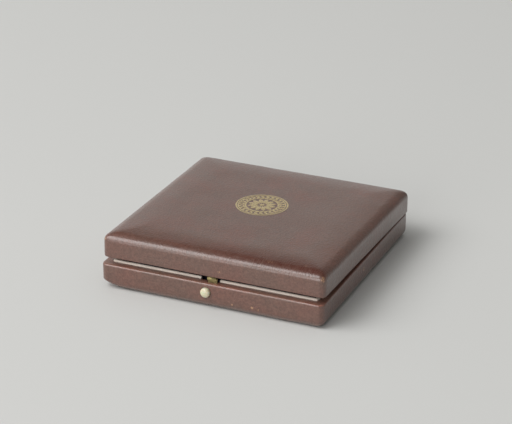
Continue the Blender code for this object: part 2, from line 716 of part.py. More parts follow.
def make_keeper(lid, leather, rail, border):
    """The bar that the nose hooks over, bridging a notch in the lid's front wall."""
    half = KEEPER_LENGTH / 2
    span = KEEPER_SPAN / 2
    plan = [
        (CATCH_X - half, KEEPER_FRONT),
        (CATCH_X + half, KEEPER_FRONT),
        (CATCH_X + half, KEEPER_BACK),
        (CATCH_X + span, KEEPER_BACK),
        (CATCH_X + span, BAR_BACK),
        (CATCH_X - span, BAR_BACK),
        (CATCH_X - span, KEEPER_BACK),
        (CATCH_X - half, KEEPER_BACK),
    ]
    bar = plate("keeper_plate", plan, KEEPER_BOTTOM, KEEPER_THICKNESS, "brass", lid)
    rim_low = (CATCH_X - half - CLEARANCE, KEEPER_FRONT - CLEARANCE, -OVERRUN)
    rim_high = (CATCH_X + half + CLEARANCE, LEDGE_DEPTH + OVERRUN - HALF_DEPTH, SKIN)
    apply_cutter(leather, as_cutter(box("keeper_seat", rim_low, rim_high, parent=lid)))
    notch_low = (CATCH_X - span, -HALF_DEPTH - OVERRUN, -OVERRUN)
    notch_high = (CATCH_X + span, LEDGE_DEPTH + OVERRUN - HALF_DEPTH, NOTCH_TOP)
    notch = as_cutter(box("keeper_notch", notch_low, notch_high, parent=lid))
    apply_cutter(rail, notch)
    apply_cutter(border, notch)
    nail_x = (half + span) / 2
    for name, sign in (("left", -1), ("right", 1)):
        place = (CATCH_X + sign * nail_x, LID_RAIL_MIDDLE - HALF_DEPTH, KEEPER_BOTTOM)
        nail(f"keeper_nail_{name}", place, (0.0, 0.0, 1.0), NAIL_LENGTH, (bar, rail), lid)


def hinge_leaf(name, centre_x, base_side, parent=None):
    """A leaf: a plate with fingers, and the knuckles at their ends, not yet bored."""
    drop = 0.0 if base_side else LID_RIM
    axis_z = HINGE_Z - drop
    low_z = BASE_LEAF_BOTTOM if base_side else LID_LEAF_TOP - LEAF_THICKNESS - drop
    half = HINGE_LENGTH / 2
    middle = MIDDLE_KNUCKLE / 2
    spans = [(-middle, middle)]
    if base_side:
        spans = [(-half, -middle - CLEARANCE), (middle + CLEARANCE, half)]
    finger_end = HINGE_Y - BARREL_RADIUS / 2
    plan = [(half, LEAF_START), (-half, LEAF_START)]
    for start, end in spans:
        if start > -half:
            plan.append((start, LEAF_END))
        plan += [(start, finger_end), (end, finger_end)]
        if end < half:
            plan.append((end, LEAF_END))
    if not base_side:
        plan.insert(2, (-half, LEAF_END))
        plan.append((half, LEAF_END))
    leaf = plate(name, [(centre_x + x, y) for x, y in plan], low_z, LEAF_THICKNESS, "brass", parent)
    for i, (start, end) in enumerate(spans):
        ends = (centre_x + start, centre_x + end)
        knuckle = x_drum(f"{name}_knuckle_{i}", BARREL_RADIUS, *ends, axis_z, parent)
        apply_cutter(leaf, as_cutter(knuckle), "UNION")
    return leaf


def make_hinge(name, centre_x, lid, base_holders, lid_holders):
    """One butt hinge, its nails, and the seats cut for it in the leather and the rails."""
    half = HINGE_LENGTH / 2
    base_leaf = hinge_leaf(f"{name}_base_leaf", centre_x, True)
    lid_leaf = hinge_leaf(f"{name}_lid_leaf", centre_x, False, lid)
    x_drum(f"{name}_pin", HINGE_PIN_RADIUS, centre_x - half, centre_x + half, HINGE_Z, material="brass")
    ends = (centre_x - half - CLEARANCE, centre_x + half + CLEARANCE)
    inner_y = HALF_DEPTH - LEDGE_DEPTH - OVERRUN
    outer_y = HALF_DEPTH + OVERRUN
    cuts = (
        ("base", None, HINGE_Z, (RAIL_TOP, LID_RIM), base_holders),
        ("lid", lid, HINGE_Z - LID_RIM, (-SEAM, SKIN), lid_holders),
    )
    for side, parent, axis_z, (low_z, high_z), holders in cuts:
        barrel = as_cutter(x_drum(f"{name}_{side}_barrel_cut", BARREL_CUT, *ends, axis_z, parent))
        low = (ends[0], inner_y, low_z)
        high = (ends[1], outer_y, high_z)
        seat = box(f"{name}_{side}_seat", low, high, parent=parent)
        as_cutter(seat)
        apply_cutter(holders[0], seat)
        for holder in holders:
            apply_cutter(holder, barrel)
    for i, sign in enumerate((-1, 1), start=1):
        nail_x = centre_x + sign * HINGE_NAIL_SPREAD
        top = (nail_x, HINGE_NAIL_Y, BASE_LEAF_BOTTOM + LEAF_THICKNESS)
        nail(f"{name}_base_nail_{i}", top, (0.0, 0.0, -1.0), NAIL_LENGTH, (base_leaf, base_holders[1]))
        below = (nail_x, HINGE_NAIL_Y, LID_LEAF_TOP - LEAF_THICKNESS - LID_RIM)
        nail(f"{name}_lid_nail_{i}", below, (0.0, 0.0, 1.0), NAIL_LENGTH, (lid_leaf, lid_holders[1]), lid)
    bore_ends = (centre_x - half - OVERRUN, centre_x + half + OVERRUN)
    bore_radius = HINGE_PIN_RADIUS + CLEARANCE
    apply_cutter(base_leaf, as_cutter(x_drum(f"{name}_base_bore", bore_radius, *bore_ends, HINGE_Z)))
    lid_bore = x_drum(f"{name}_lid_bore", bore_radius, *bore_ends, HINGE_Z - LID_RIM, lid)
    apply_cutter(lid_leaf, as_cutter(lid_bore))


def main():
    clear_scene()
    hinge_place = (0.0, HINGE_Y, HINGE_Z)
    lid_start = (0.0, -HINGE_Y, LID_RIM - HINGE_Z)
    lid = add_pivot("lid_hinge", hinge_place, lid_start, -AJAR_ANGLE)
    base_leather = make_base_leather()
    base_rails = make_base_rails()
    make_base_board()
    make_underside_panel()
    make_lips()
    make_medal_pad()
    lid_leather = make_lid_leather(lid)
    make_lid_crown(lid)
    lid_rails = make_lid_rails(lid)
    lid_borders = make_lid_borders(lid)
    make_lining(lid)
    make_button(base_leather, base_rails["front"])
    make_catch(base_leather, base_rails["front"])
    make_keeper(lid, lid_leather, lid_rails["front"], lid_borders["front"])
    base_holders = (base_leather, base_rails["back"])
    lid_holders = (lid_leather, lid_rails["back"])
    for name, sign in (("hinge_left", -1), ("hinge_right", 1)):
        make_hinge(name, sign * HINGE_X, lid, base_holders, lid_holders)


main()
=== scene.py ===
"""Dresses the medal case: its skins, linings, ornament and finishes, and the studio round it."""

import functools
import json
import math

import bmesh
import bpy
from bpy.props import FloatProperty, FloatVectorProperty, IntProperty, PointerProperty
from mathutils import Matrix, Vector


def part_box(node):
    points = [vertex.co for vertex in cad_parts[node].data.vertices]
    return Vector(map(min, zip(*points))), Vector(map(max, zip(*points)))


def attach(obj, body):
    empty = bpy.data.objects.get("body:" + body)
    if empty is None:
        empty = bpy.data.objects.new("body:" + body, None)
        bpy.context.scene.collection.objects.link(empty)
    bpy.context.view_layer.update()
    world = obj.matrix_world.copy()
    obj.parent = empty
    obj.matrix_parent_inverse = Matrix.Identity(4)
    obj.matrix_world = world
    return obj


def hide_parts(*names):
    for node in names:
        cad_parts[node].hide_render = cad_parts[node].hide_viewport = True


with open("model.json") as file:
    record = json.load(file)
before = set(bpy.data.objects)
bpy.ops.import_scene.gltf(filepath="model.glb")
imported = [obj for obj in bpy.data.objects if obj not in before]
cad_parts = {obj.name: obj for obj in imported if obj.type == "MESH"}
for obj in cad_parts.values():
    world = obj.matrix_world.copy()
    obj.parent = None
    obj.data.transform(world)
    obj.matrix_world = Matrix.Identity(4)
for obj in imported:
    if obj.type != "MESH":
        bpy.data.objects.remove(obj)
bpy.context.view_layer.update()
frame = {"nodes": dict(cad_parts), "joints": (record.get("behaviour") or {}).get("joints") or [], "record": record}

bl_info = {
    "name": "Medal Case Dressing",
    "version": (1, 0, 0),
    "blender": (4, 5, 0),
    "location": "View3D > Sidebar > Medal Case",
    "description": "Models and finishes the visible pieces of a leather-covered medal case",
    "category": "Object",
}

LID_JOINT = next(joint for joint in frame["joints"] if joint["name"] == "lid_hinge")
HINGE_LINE = Vector(LID_JOINT["pos_m"])
AJAR = -math.radians(LID_JOINT["range_deg"][0])

CARRIED_OVER = ("brass", "beech", "cream_satin", "underside_paper", "card")

# How finely the forms are divided
RIM_STEPS = 5
SHOULDER_STEPS = 9
CROWN_STEPS = 8
DOME_STEPS = 8
FOOT_STEPS = 10
BUTTON_STEPS = 12
WALL_RINGS = 4
TOP_RINGS = 14
LEDGE_RINGS = 5
BASE_TURN_IN_RINGS = 4
LID_TURN_IN_RINGS = 3
ROUND_FACES = 128
BORE_FACES = 48
BUTTON_FACES = 56

# Where the turned-in leather starts to lie flat, in radii of the rim or foot from the side
CLEAR_OF_RIM = 1.2
CLEAR_OF_FOOT = 0.9

# How the satin gives while the pad is filled
FILL_FRAMES = 20
SATIN_CLOTH = {
    "quality": 6,
    "mass": 0.15,
    "tension_stiffness": 12.0,
    "compression_stiffness": 6.0,
    "shear_stiffness": 4.0,
    "bending_stiffness": 0.02,
    "use_pressure": True,
    "uniform_pressure_force": 4.0,
}

# Angles up to which pieces are shaded smooth, and from which their edges are rounded
SMOOTH_SKIN = math.radians(40.0)
SMOOTH_PIECE = math.radians(50.0)
SMOOTH_ROUND = math.radians(60.0)
METAL_EDGE_ANGLE = math.radians(35.0)
SHARP_TURN = 1.0

# Shares that shape the ornament: of the leaves' pitch, the rosette, a leaf and the outer line
LEAF_OFFSET, LEAF_LENGTH, LEAF_WIDTH, LEAF_SLANT = 0.34, 0.54, 0.26, 0.62
PETAL_OFFSET, PETAL_LENGTH, PETAL_WIDTH, BEAD = 0.62, 0.36, 0.155, 0.17
LEAF_TIP_START, LEAF_TIP_WIDTH = 0.7, 0.55
GARLAND_RADIUS, ROSETTE_RADIUS = 0.78, 0.58
ORNAMENT_MARGIN = 1.05

# The widths over which each kind of wear fades, and how strong it is
SHOULDER_WEAR = 0.0016
SHOULDER_WEAR_HEIGHT = 0.0013
RIM_WEAR = 0.0009
RIM_WEAR_HEIGHT = 0.0010
FOOT_WEAR = 0.002
FOOT_WEAR_LEVEL = 0.0028
FOOT_WEAR_HEIGHT = 0.0022
CORNER_WEAR = 0.004
SIDE_WEAR = 0.45
CORNER_WEAR_CURVE = 1.3
RIDGE_RUB, RIM_RUB, FOOT_RUB, FOOT_CORNER_RUB = 0.40, 0.10, 0.12, 0.6

# Heights over which painted light makes the leather lighter on to the ledge and darker off it again
LEDGE_RISE = (0.0114, 0.0118)
LEDGE_FALL = (0.0121, 0.0124)
LEDGE_PAINTED_LIGHT = 1.6

# The darkest tone in the grain of each material, as a share of its colour
IVORY_GRAIN = (0.94, 0.90, 0.80)
PAPER_GRAIN = 0.75
FLOOR_GRAIN = 0.985


def length(name, description, default):
    return FloatProperty(name=name, description=description, default=default, unit="LENGTH", precision=5)


def angle(name, description, degrees):
    turn = math.radians(degrees)
    return FloatProperty(name=name, description=description, default=turn, subtype="ANGLE")


def share(name, description, default):
    return FloatProperty(name=name, description=description, default=default, min=0.0, max=1.0)


def count(name, description, default):
    return IntProperty(name=name, description=description, default=default, min=1)


def colour(name, description, default):
    return FloatVectorProperty(name=name, description=description, default=default, size=3, subtype="COLOR")


class MedalCaseSizes(bpy.types.PropertyGroup):
    clearance: length("Clearance", "Gap between pieces that meet", 0.0003)
    corner_radius: length("Corner radius", "Rounding of the upright corners", 0.0031)
    lid_hip: length("Lid hip", "Least rounding where two sides of the lid's crown meet", 0.0022)
    base_hip: length("Base hip", "Least rounding of the corners of the base's foot", 0.0024)
    corner_segments: count("Corner segments", "Faces round each upright corner", 8)
    side_cuts: count("Side cuts", "Cuts along each side of a skin", 43)
    leather: length("Leather", "Thickness of the leather skins", 0.0007)
    rim_radius: length("Rim radius", "Rounding of the skins' rims", 0.0008)
    foot_radius: length("Foot radius", "Rounding of the base's lower edge", 0.0042)
    corner_wear: length("Corner wear", "Extra rounding of the base's worn front left corner", 0.0105)
    ledge: length("Ledge", "Depth of the ledge that the lid closes on", 0.0039)
    turn_in: length("Turn-in", "Width of the leather folded in below the base", 0.012)
    lid_turn_in: length("Lid turn-in", "Width of the leather folded in under the lid's rim", 0.0029)
    wall_height: length("Wall height", "Height of the lid's upright walls", 0.00775)
    shoulder_radius: length("Shoulder radius", "Rounding above the lid's walls", 0.0032)
    shoulder_turn: angle("Shoulder turn", "How far the shoulder turns", 58.0)
    crown_radius: length("Crown radius", "Rounding from the shoulder to the dome", 0.0090)
    crown_turn: angle("Crown turn", "Slope at which the crown runs into the dome", 83.5)
    dome_radius: length("Dome radius", "Rounding from the crown to the flat middle", 0.110)
    unevenness: length("Unevenness", "Rise and fall of the hand-laid leather", 0.00022)
    unevenness_pitch: length("Unevenness pitch", "Size of the rises and falls", 0.016)
    tray_edge: length("Tray edge", "Rounding of the velvet over the tray's edges", 0.0009)
    tray_cuts: count("Tray cuts", "Cuts along each side of the tray", 7)
    recess_radius: length("Recess radius", "Radius of the medal's recess", 0.035)
    finger_radius: length("Finger cut radius", "Radius of the finger cut", 0.008)
    lining_start: length("Lining start", "Thickness of the satin pad before it is filled", 0.0016)
    lining_voxel: length("Lining voxel", "Face size of the satin pad's simulation", 0.0013)
    lining_cap: length("Lining cap", "Furthest that a point of the satin pad moves", 0.0020)
    button_radius: length("Button radius", "Radius of the push button", 0.0023)
    button_body: length("Button body", "Length of the button's straight part", 0.0010)
    button_dome: length("Button dome", "Height of the button's dome", 0.0012)
    emblem_right: length("Emblem right", "Gilt ornament's place to the right of the lid's middle", -0.0008)
    emblem_back: length("Emblem back", "Gilt ornament's place behind the lid's middle", 0.0044)
    emblem_radius: length("Emblem radius", "Radius of the gilt ornament's outer line", 0.0121)
    gilt_line: length("Gilt line", "Half the width of the ornament's lines", 0.00039)
    gilt_rise: length("Gilt rise", "Height of the gilding above the leather", 0.00006)
    leaf_pairs: count("Leaf pairs", "Pairs of leaves in the garland", 26)
    petals: count("Petals", "Petals of the rosette", 12)
    metal_edge: length("Metal edge", "Rounding of the brass pieces' edges", 0.00008)


class MedalCaseColours(bpy.types.PropertyGroup):
    leather: colour("Leather", "Main colour of the leather", (0.132, 0.066, 0.048))
    leather_red: colour("Leather, reddish", "Colour of its redder patches", (0.148, 0.062, 0.044))
    leather_worn: colour("Leather, worn", "Colour of rubbed edges", (0.30, 0.18, 0.125))
    leather_scuffed: colour("Leather, scuffed", "Colour of scuffed spots", (0.36, 0.20, 0.11))
    # Painted shade: this dark red stands in for the dark room that the front crown reflects.
    leather_painted_shade: colour("Leather, dark", "Colour of the dark band above the shoulder", (0.078, 0.014, 0.006))
    # Painted reflection: this grey stands in for the pale floor reflected in the foot.
    leather_floor_reflection: colour("Leather, dusty", "Colour of the dusty foot", (0.30, 0.25, 0.21))
    gilt: colour("Gilt", "Colour of the tooled ornament", (0.86, 0.70, 0.40))
    brass: colour("Brass", "Colour of the brass fittings", (0.46, 0.38, 0.18))
    brass_dull: colour("Brass, tarnished", "Colour of tarnished brass", (0.20, 0.17, 0.08))
    ivory: colour("Ivory", "Colour of the push button", (0.635, 0.61, 0.455))
    satin: colour("Satin", "Colour of the satin", (0.88, 0.77, 0.68))
    satin_dark: colour("Satin, soiled", "Colour of its darker threads", (0.60, 0.49, 0.41))
    velvet: colour("Velvet", "Colour of the tray's velvet", (0.008, 0.010, 0.034))
    # Also painted into the velvet's colour as sheen where the pile leans.
    velvet_sheen: colour("Velvet, light", "Colour of the pile's tips", (0.030, 0.042, 0.14))
    wood: colour("Wood", "Colour of the beech", (0.52, 0.36, 0.22))
    wood_dark: colour("Wood, dark", "Colour of its grain", (0.34, 0.21, 0.12))
    paper: colour("Paper", "Colour of the paper below the base", (0.10, 0.045, 0.032))
    card: colour("Card", "Colour of the card behind the lining", (0.55, 0.49, 0.40))


class MedalCaseStage(bpy.types.PropertyGroup):
    floor: colour("Floor", "Colour of the floor and the backdrop", (0.585, 0.585, 0.572))
    floor_size: length("Floor size", "Side of the floor", 16.0)
    azimuth: angle("Azimuth", "Camera's turn to the right of the front", 23.47)
    elevation: angle("Elevation", "Camera's height above the floor", 24.67)
    distance: length("Distance", "From the camera to the point it looks at", 1.0826)
    target: FloatVectorProperty(
        name="Target",
        description="Point on the floor that the camera looks at",
        default=(-0.02244, 0.04909, 0.0),
        unit="LENGTH",
    )
    lens: FloatProperty(name="Lens", description="Focal length in millimetres", default=153.6)
    key_azimuth: angle("Key azimuth", "Key lamp's turn to the left of the front", 50.0)
    key_elevation: angle("Key elevation", "Key lamp's height", 48.0)
    lamp_distance: length("Lamp distance", "From the case to each lamp", 3.0)
    key_size: length("Key size", "Side of the key lamp", 2.2)
    key_power: FloatProperty(name="Key power", description="Power of the key lamp", default=72.0)
    front_azimuth: angle("Front azimuth", "Front lamp's turn to the left of the front", 5.0)
    front_elevation: angle("Front elevation", "Front lamp's height", 14.0)
    front_size: length("Front size", "Side of the front lamp", 1.6)
    front_power: FloatProperty(name="Front power", description="Power of the front lamp", default=35.0)
    fill: FloatProperty(name="Fill", description="Strength of the light from all round", default=0.56)
    wall_gloss: share("Wall gloss", "Brightness of the room's walls at eye level in gloss", 0.82)
    fill_level: share("Fill level", "Share of the fill that comes from the horizon", 0.25)
    fill_above: FloatProperty(name="Fill above", description="Share of the fill from above", default=2.9)
    horizon: FloatProperty(name="Horizon", description="Brightness of the walls near the floor", default=1.3)
    right_fill: share("Right fill", "Share of the fill that comes from the right", 0.35)
    right_gloss: share("Right gloss", "Brightness of the room's right side in gloss", 0.34)
    zenith: share("Zenith", "Share of the backdrop's brightness straight above", 0.04)
    bright_below: angle("Bright below", "Height up to which the room's walls are bright in gloss", 26.0)
    dark_above: angle("Dark above", "Height from which the room is dark in gloss", 36.0)


def sizes():
    return bpy.context.scene.medal_case_sizes


def colours():
    return bpy.context.scene.medal_case_colours


def stage():
    return bpy.context.scene.medal_case_stage


def box_round(points):
    """Lowest and highest corner of the box round some points."""
    return [Vector([end(point[axis] for point in points) for axis in range(3)]) for end in (min, max)]


def shut_box(node):
    """Lowest and highest corner of a CAD node of the lid, with the lid shut."""
    turn = Matrix.Rotation(AJAR, 3, "X")
    vertices = frame["nodes"][node].data.vertices
    return box_round([HINGE_LINE + turn @ (vertex.co - HINGE_LINE) for vertex in vertices])


# Modelling


def start_piece(name, add, **settings):
    """Adds a primitive with nothing else selected, and opens it in edit mode, all selected."""
    bpy.ops.object.select_all(action="DESELECT")
    add(**settings)
    piece = bpy.context.object
    piece.name = name
    piece.data.name = name
    bpy.ops.object.transform_apply(location=True, rotation=True, scale=True)
    bpy.ops.object.mode_set(mode="EDIT")
    bpy.ops.mesh.select_all(action="SELECT")
    return piece


def start_block(name, low, high):
    """A box between two corners, opened in edit mode."""
    add = bpy.ops.mesh.primitive_cube_add
    return start_piece(name, add, size=1.0, location=(low + high) / 2, scale=high - low)


def start_cylinder(name, faces, radius, depth, middle, upright=True):
    """A closed cylinder, upright or pointing to the front, opened in edit mode."""
    return start_piece(
        name,
        bpy.ops.mesh.primitive_cylinder_add,
        vertices=faces,
        radius=radius,
        depth=depth,
        location=middle,
        rotation=(0.0 if upright else math.pi / 2, 0.0, 0.0),
    )


def edit(piece):
    only(piece)
    bpy.ops.object.mode_set(mode="EDIT")


def pick(piece, kind, test):
    """Selects the vertices, edges or faces of a piece in edit mode that pass a test."""
    bpy.ops.mesh.select_mode(type=kind)
    bpy.ops.mesh.select_all(action="DESELECT")
    mesh = bmesh.from_edit_mesh(piece.data)
    parts = {"VERT": mesh.verts, "EDGE": mesh.edges, "FACE": mesh.faces}[kind]
    for part in parts:
        if test(part):
            part.select_set(True)
    mesh.select_flush_mode()
    bmesh.update_edit_mesh(piece.data)


def pick_cap(piece, test):
    """Selects the many-sided faces whose corners all pass a test."""
    pick(piece, "FACE", lambda face: len(face.verts) > 4 and all(test(v.co) for v in face.verts))


def extrude(move):
    bpy.ops.mesh.extrude_region_move(TRANSFORM_OT_translate={"value": move})


def stretch(ratios, level):
    """Scales what is selected about the upright axis's point at a level."""
    bpy.ops.transform.resize(value=ratios, center_override=(0.0, 0.0, level))


def close_edit(piece, smooth=None):
    """Leaves edit mode, and shades the piece smooth up to an angle."""
    bpy.ops.object.mode_set(mode="OBJECT")
    if smooth is not None:
        only(piece)
        bpy.ops.object.shade_smooth_by_angle(angle=smooth)


def only(piece):
    bpy.ops.object.select_all(action="DESELECT")
    piece.select_set(True)
    bpy.context.view_layer.objects.active = piece


def apply_modifier(piece, kind, **settings):
    """Adds a modifier, sets it and applies it."""
    only(piece)
    modifier = piece.modifiers.new(kind.lower(), kind)
    for name, value in settings.items():
        setattr(modifier, name, value)
    bpy.ops.object.modifier_apply(modifier=modifier.name)


def cut_with(piece, cutter):
    """Cuts a closed piece out of another, and removes it."""
    apply_modifier(piece, "BOOLEAN", operation="DIFFERENCE", solver="EXACT", object=cutter)
    bpy.data.objects.remove(cutter)


def cut_block(piece, low, high):
    cutter = start_block(f"{piece.name}_cut", low, high)
    close_edit(cutter)
    cut_with(piece, cutter)


def cut_hinge_seats(piece, front, back, bottom, top):
    """Cuts a seat for each hinge, a little wider than its leaf."""
    gap = sizes().clearance
    for side in ("left", "right"):
        low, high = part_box(f"hinge_{side}_base_leaf")
        cut_block(piece, Vector((low.x - gap, front, bottom)), Vector((high.x + gap, back, top)))


def join(piece, other):
    only(piece)
    other.select_set(True)
    bpy.ops.object.join()


def press(piece, within, test, level):
    """Flattens the turned-in or folded leather that passes a test on to a level."""
    edit(piece)
    pick(piece, "VERT", lambda v: test(v.co.z) and max(abs(v.co.x), abs(v.co.y)) < within)
    stretch((1.0, 1.0, 0.0), level)
    bpy.ops.object.mode_set(mode="OBJECT")


def tip_with_lid(piece):
    """Turns a piece made for the shut lid about the hinge, to where the lid stands ajar."""
    piece.data.transform(
        Matrix.Translation(HINGE_LINE)
        @ Matrix.Rotation(-AJAR, 4, "X")
        @ Matrix.Translation(-HINGE_LINE)
    )


def arc_runs(radius, start, end, steps):
    """(run inwards, rise) of each chord of an arc; an angle of zero faces outwards."""
    turns = [start + (end - start) * step / steps for step in range(steps + 1)]
    return [
        (radius * (math.cos(low) - math.cos(high)), radius * (math.sin(high) - math.sin(low)))
        for low, high in zip(turns, turns[1:])
    ]


class Skin:
    """A rounded square shell that grows ring by ring from the selected cap face."""

    def __init__(self, name, half, radius, hip, height):
        self.hip = hip
        self.start = (half, radius, height)
        add = bpy.ops.mesh.primitive_plane_add
        self.piece = start_piece(name, add, size=2 * half, location=(0.0, 0.0, height))
        segments = sizes().corner_segments
        bpy.ops.mesh.bevel(offset=radius, segments=segments, affect="VERTICES", profile=0.5)
        self.turn_up()

    def turn_up(self):
        self.half, self.radius, self.height = self.start
        self.facing = 1.0

    def turn_down(self):
        """Goes on from the face below, downwards."""
        low = self.start[2] + sizes().clearance / 100
        pick_cap(self.piece, lambda point: point.z < low)
        self.turn_up()
        self.facing = -1.0

    def ring(self, run, rise):
        """One more ring: parallel to the last while the corner allows, then scaled."""
        self.height += rise * self.facing
        if run > 0 and self.radius - run >= self.hip:
            bpy.ops.mesh.inset(thickness=run, depth=rise)
            self.radius -= run
        else:
            extrude((0.0, 0.0, rise * self.facing))
            ratio = (self.half - run) / self.half
            stretch((ratio, ratio, 1.0), self.height)
            self.radius *= ratio
        self.half -= run

    def rings(self, runs):
        for run, rise in runs:
            self.ring(run, rise)

    def rise(self, height, steps):
        self.rings([(0.0, height / steps)] * steps)

    def run_in(self, width, steps):
        self.rings([(width / steps, 0.0)] * steps)

    def open_cap(self):
        bpy.ops.mesh.delete(type="FACE")

    def cut_sides(self):
        """Divides the long edges of every ring."""
        least = self.start[0]
        pick(self.piece, "EDGE", lambda edge: edge.calc_length() > least)
        bpy.ops.mesh.subdivide(number_cuts=sizes().side_cuts)

    def close_top(self, steps):
        """Fills the flat top with shrinking rings and one point."""
        top = max(v.co.z for v in bmesh.from_edit_mesh(self.piece.data).verts)
        near = sizes().clearance / 100
        pick_cap(self.piece, lambda point: point.z > top - near)
        for step in range(steps, 1, -1):
            ratio = (step - 1) / step
            bpy.ops.mesh.extrude_region_move()
            stretch((ratio, ratio, 1.0), top)
        bpy.ops.mesh.merge(type="CENTER")


def lay_unevenly(piece, seed, weigh=None):
    """Gives hand-laid leather its slight rises and falls, where weigh says so."""
    lie = piece.vertex_groups.new(name="lie")
    for vertex in piece.data.vertices:
        lie.add([vertex.index], weigh(vertex.co) if weigh else 1.0, "REPLACE")
    texture = bpy.data.textures.new(f"{piece.name}_lie", "CLOUDS")
    texture.noise_scale = sizes().unevenness_pitch
    texture.noise_depth = 1
    piece.data.transform(Matrix.Translation((seed, 0.0, 0.0)))
    apply_modifier(
        piece,
        "DISPLACE",
        texture=texture,
        strength=sizes().unevenness,
        mid_level=0.5,
        texture_coords="LOCAL",
        vertex_group="lie",
    )
    piece.data.transform(Matrix.Translation((-seed, 0.0, 0.0)))
    piece.vertex_groups.clear()
    bpy.data.textures.remove(texture)


def thicken(piece):
    """Turns a sheet into leather of its thickness, with the sheet as its outer face."""
    edit(piece)
    bpy.ops.mesh.select_all(action="SELECT")
    bpy.ops.mesh.normals_make_consistent(inside=False)
    close_edit(piece)
    apply_modifier(piece, "SOLIDIFY", thickness=sizes().leather, offset=-1.0, use_even_offset=True)


def keep_value(piece, name, weigh):
    """Keeps a number on each point of a piece, for its material to read."""
    layer = piece.data.attributes.new(name, "FLOAT", "POINT")
    layer.data.foreach_set("value", [weigh(vertex.co) for vertex in piece.data.vertices])


def bell(distance, width):
    return math.exp(-((distance / width) ** 2))


def side_and_corner(point, half):
    """How far a point is inside the nearest side, and how close it is to an upright corner."""
    across, along = half - abs(point.x), half - abs(point.y)
    return min(across, along), bell(across, CORNER_WEAR) * bell(along, CORNER_WEAR)


# Finishes


def even(shader, **sockets):
    """Sets what is the same all over straight on the shader's sockets."""
    for socket, value in sockets.items():
        shader.inputs[socket.replace("_", " ")].default_value = value


def add_node(tree, kind, inputs=None, **settings):
    """Adds a node; each input is linked if it is given a socket, and set otherwise."""
    node = tree.nodes.new(f"ShaderNode{kind}")
    for name, value in settings.items():
        setattr(node, name, value)
    for name, value in (inputs or {}).items():
        if isinstance(value, bpy.types.NodeSocket):
            tree.links.new(value, node.inputs[name])
        else:
            node.inputs[name].default_value = value
    return node


def feed(shader, name, source):
    shader.id_data.links.new(source, shader.inputs[name])


def place(shader, scale=(1.0, 1.0, 1.0)):
    """Object coordinates, stretched."""
    tree = shader.id_data
    inputs = {"Vector": add_node(tree, "TexCoord").outputs["Object"], "Scale": scale}
    return add_node(tree, "Mapping", inputs).outputs["Vector"]


def noise(vector, scale, detail=2.0, roughness=0.5):
    inputs = {"Vector": vector, "Scale": scale, "Detail": detail, "Roughness": roughness}
    return add_node(vector.id_data, "TexNoise", inputs).outputs["Fac"]


def waves(vector, direction, scale, distortion, detail_scale=1.0):
    """Wavering bands that follow each other along an axis."""
    inputs = {"Vector": vector, "Scale": scale, "Distortion": distortion}
    inputs.update({"Detail": 2.0, "Detail Scale": detail_scale})
    node = add_node(vector.id_data, "TexWave", inputs, wave_type="BANDS", bands_direction=direction)
    return node.outputs["Fac"]


def spread(value, low, high, to_low=0.0, to_high=1.0):
    """Maps a range of values on to another, and clamps it."""
    inputs = {"Value": value, "From Min": low, "From Max": high, "To Min": to_low, "To Max": to_high}
    return add_node(value.id_data, "MapRange", inputs).outputs["Result"]


def combine(operation, first, second):
    return add_node(first.id_data, "Math", {0: first, 1: second}, operation=operation).outputs["Value"]


def product(*factors):
    return functools.reduce(lambda first, second: combine("MULTIPLY", first, second), factors)


def as_input(value):
    """A socket as it is; a colour, or the name of one of the case's, with its fourth channel."""
    if isinstance(value, bpy.types.NodeSocket):
        return value
    return (*(getattr(colours(), value) if isinstance(value, str) else value), 1.0)


def mix_colours(share_of_second, first, second):
    inputs = {"Factor": share_of_second, 6: as_input(first), 7: as_input(second)}
    return add_node(share_of_second.id_data, "Mix", inputs, data_type="RGBA").outputs[2]


def self_lit(level, shade):
    """A colour times a level, which may be above one."""
    inputs = {0: shade, "Scale": level}
    return add_node(level.id_data, "VectorMath", inputs, operation="SCALE").outputs["Vector"]


def bump(shader, height, distance, strength=1.0, over=None):
    """Adds relief to a shader, over an earlier relief if there is one."""
    inputs = {"Height": height, "Distance": distance, "Strength": strength}
    if over is not None:
        inputs["Normal"] = over
    relief = add_node(shader.id_data, "Bump", inputs).outputs["Normal"]
    feed(shader, "Normal", relief)
    return relief


SCUFFS = (
    ((0.0274, -0.0509, 0.0269), 0.0010),
    ((0.0288, -0.0508, 0.0269), 0.0008),
    ((0.0442, -0.0489, 0.0272), 0.0008),
    ((0.0541, -0.0537, 0.0245), 0.0016),
    ((0.0546, -0.0542, 0.0220), 0.0007),
    ((-0.0531, -0.0537, 0.0245), 0.0012),
    ((0.0045, -0.0549, 0.0190), 0.0009),
    ((0.0110, -0.0550, 0.0040), 0.0006),
    ((0.0208, -0.0550, 0.0045), 0.0009),
    ((0.0238, -0.0550, 0.0040), 0.0008),
    ((0.0550, -0.0042, 0.0077), 0.0016),
    ((0.0106, 0.0497, 0.0247), 0.0011),
)


def scuffed(vector):
    """How much the leather is scuffed: full in the middle of each spot, none outside it."""
    most = None
    for middle, radius in SCUFFS:
        inputs = {0: vector, 1: middle}
        away = add_node(vector.id_data, "VectorMath", inputs, operation="DISTANCE").outputs["Value"]
        spot = spread(away, 0.0, radius, 1.0, 0.0)
        most = spot if most is None else combine("MAXIMUM", most, spot)
    return most


def leather_tone(vector, mottle):
    """Brown with redder patches, darker in its pores, and lighter on the ledge where light is painted in."""
    patches = spread(noise(vector, 55.0, 3.0), 0.42, 0.66)
    pores = noise(vector, 1500.0, 2.0, 0.6)
    dark = spread(combine("ADD", pores, mottle), 0.8, 1.25, 0.77, 1.20)
    height = add_node(vector.id_data, "SeparateXYZ", {"Vector": vector}).outputs["Z"]
    low, high = LEDGE_RISE, LEDGE_FALL
    # Painted light: the ledge is made lighter than the rest of the leather.
    ledge = combine("MINIMUM", spread(height, *low, 1.0, LEDGE_PAINTED_LIGHT), spread(height, *high, LEDGE_PAINTED_LIGHT, 1.0))
    inputs = {"Color": mix_colours(patches, "leather", "leather_red"), "Value": product(dark, ledge)}
    return add_node(vector.id_data, "HueSaturation", inputs).outputs["Color"]


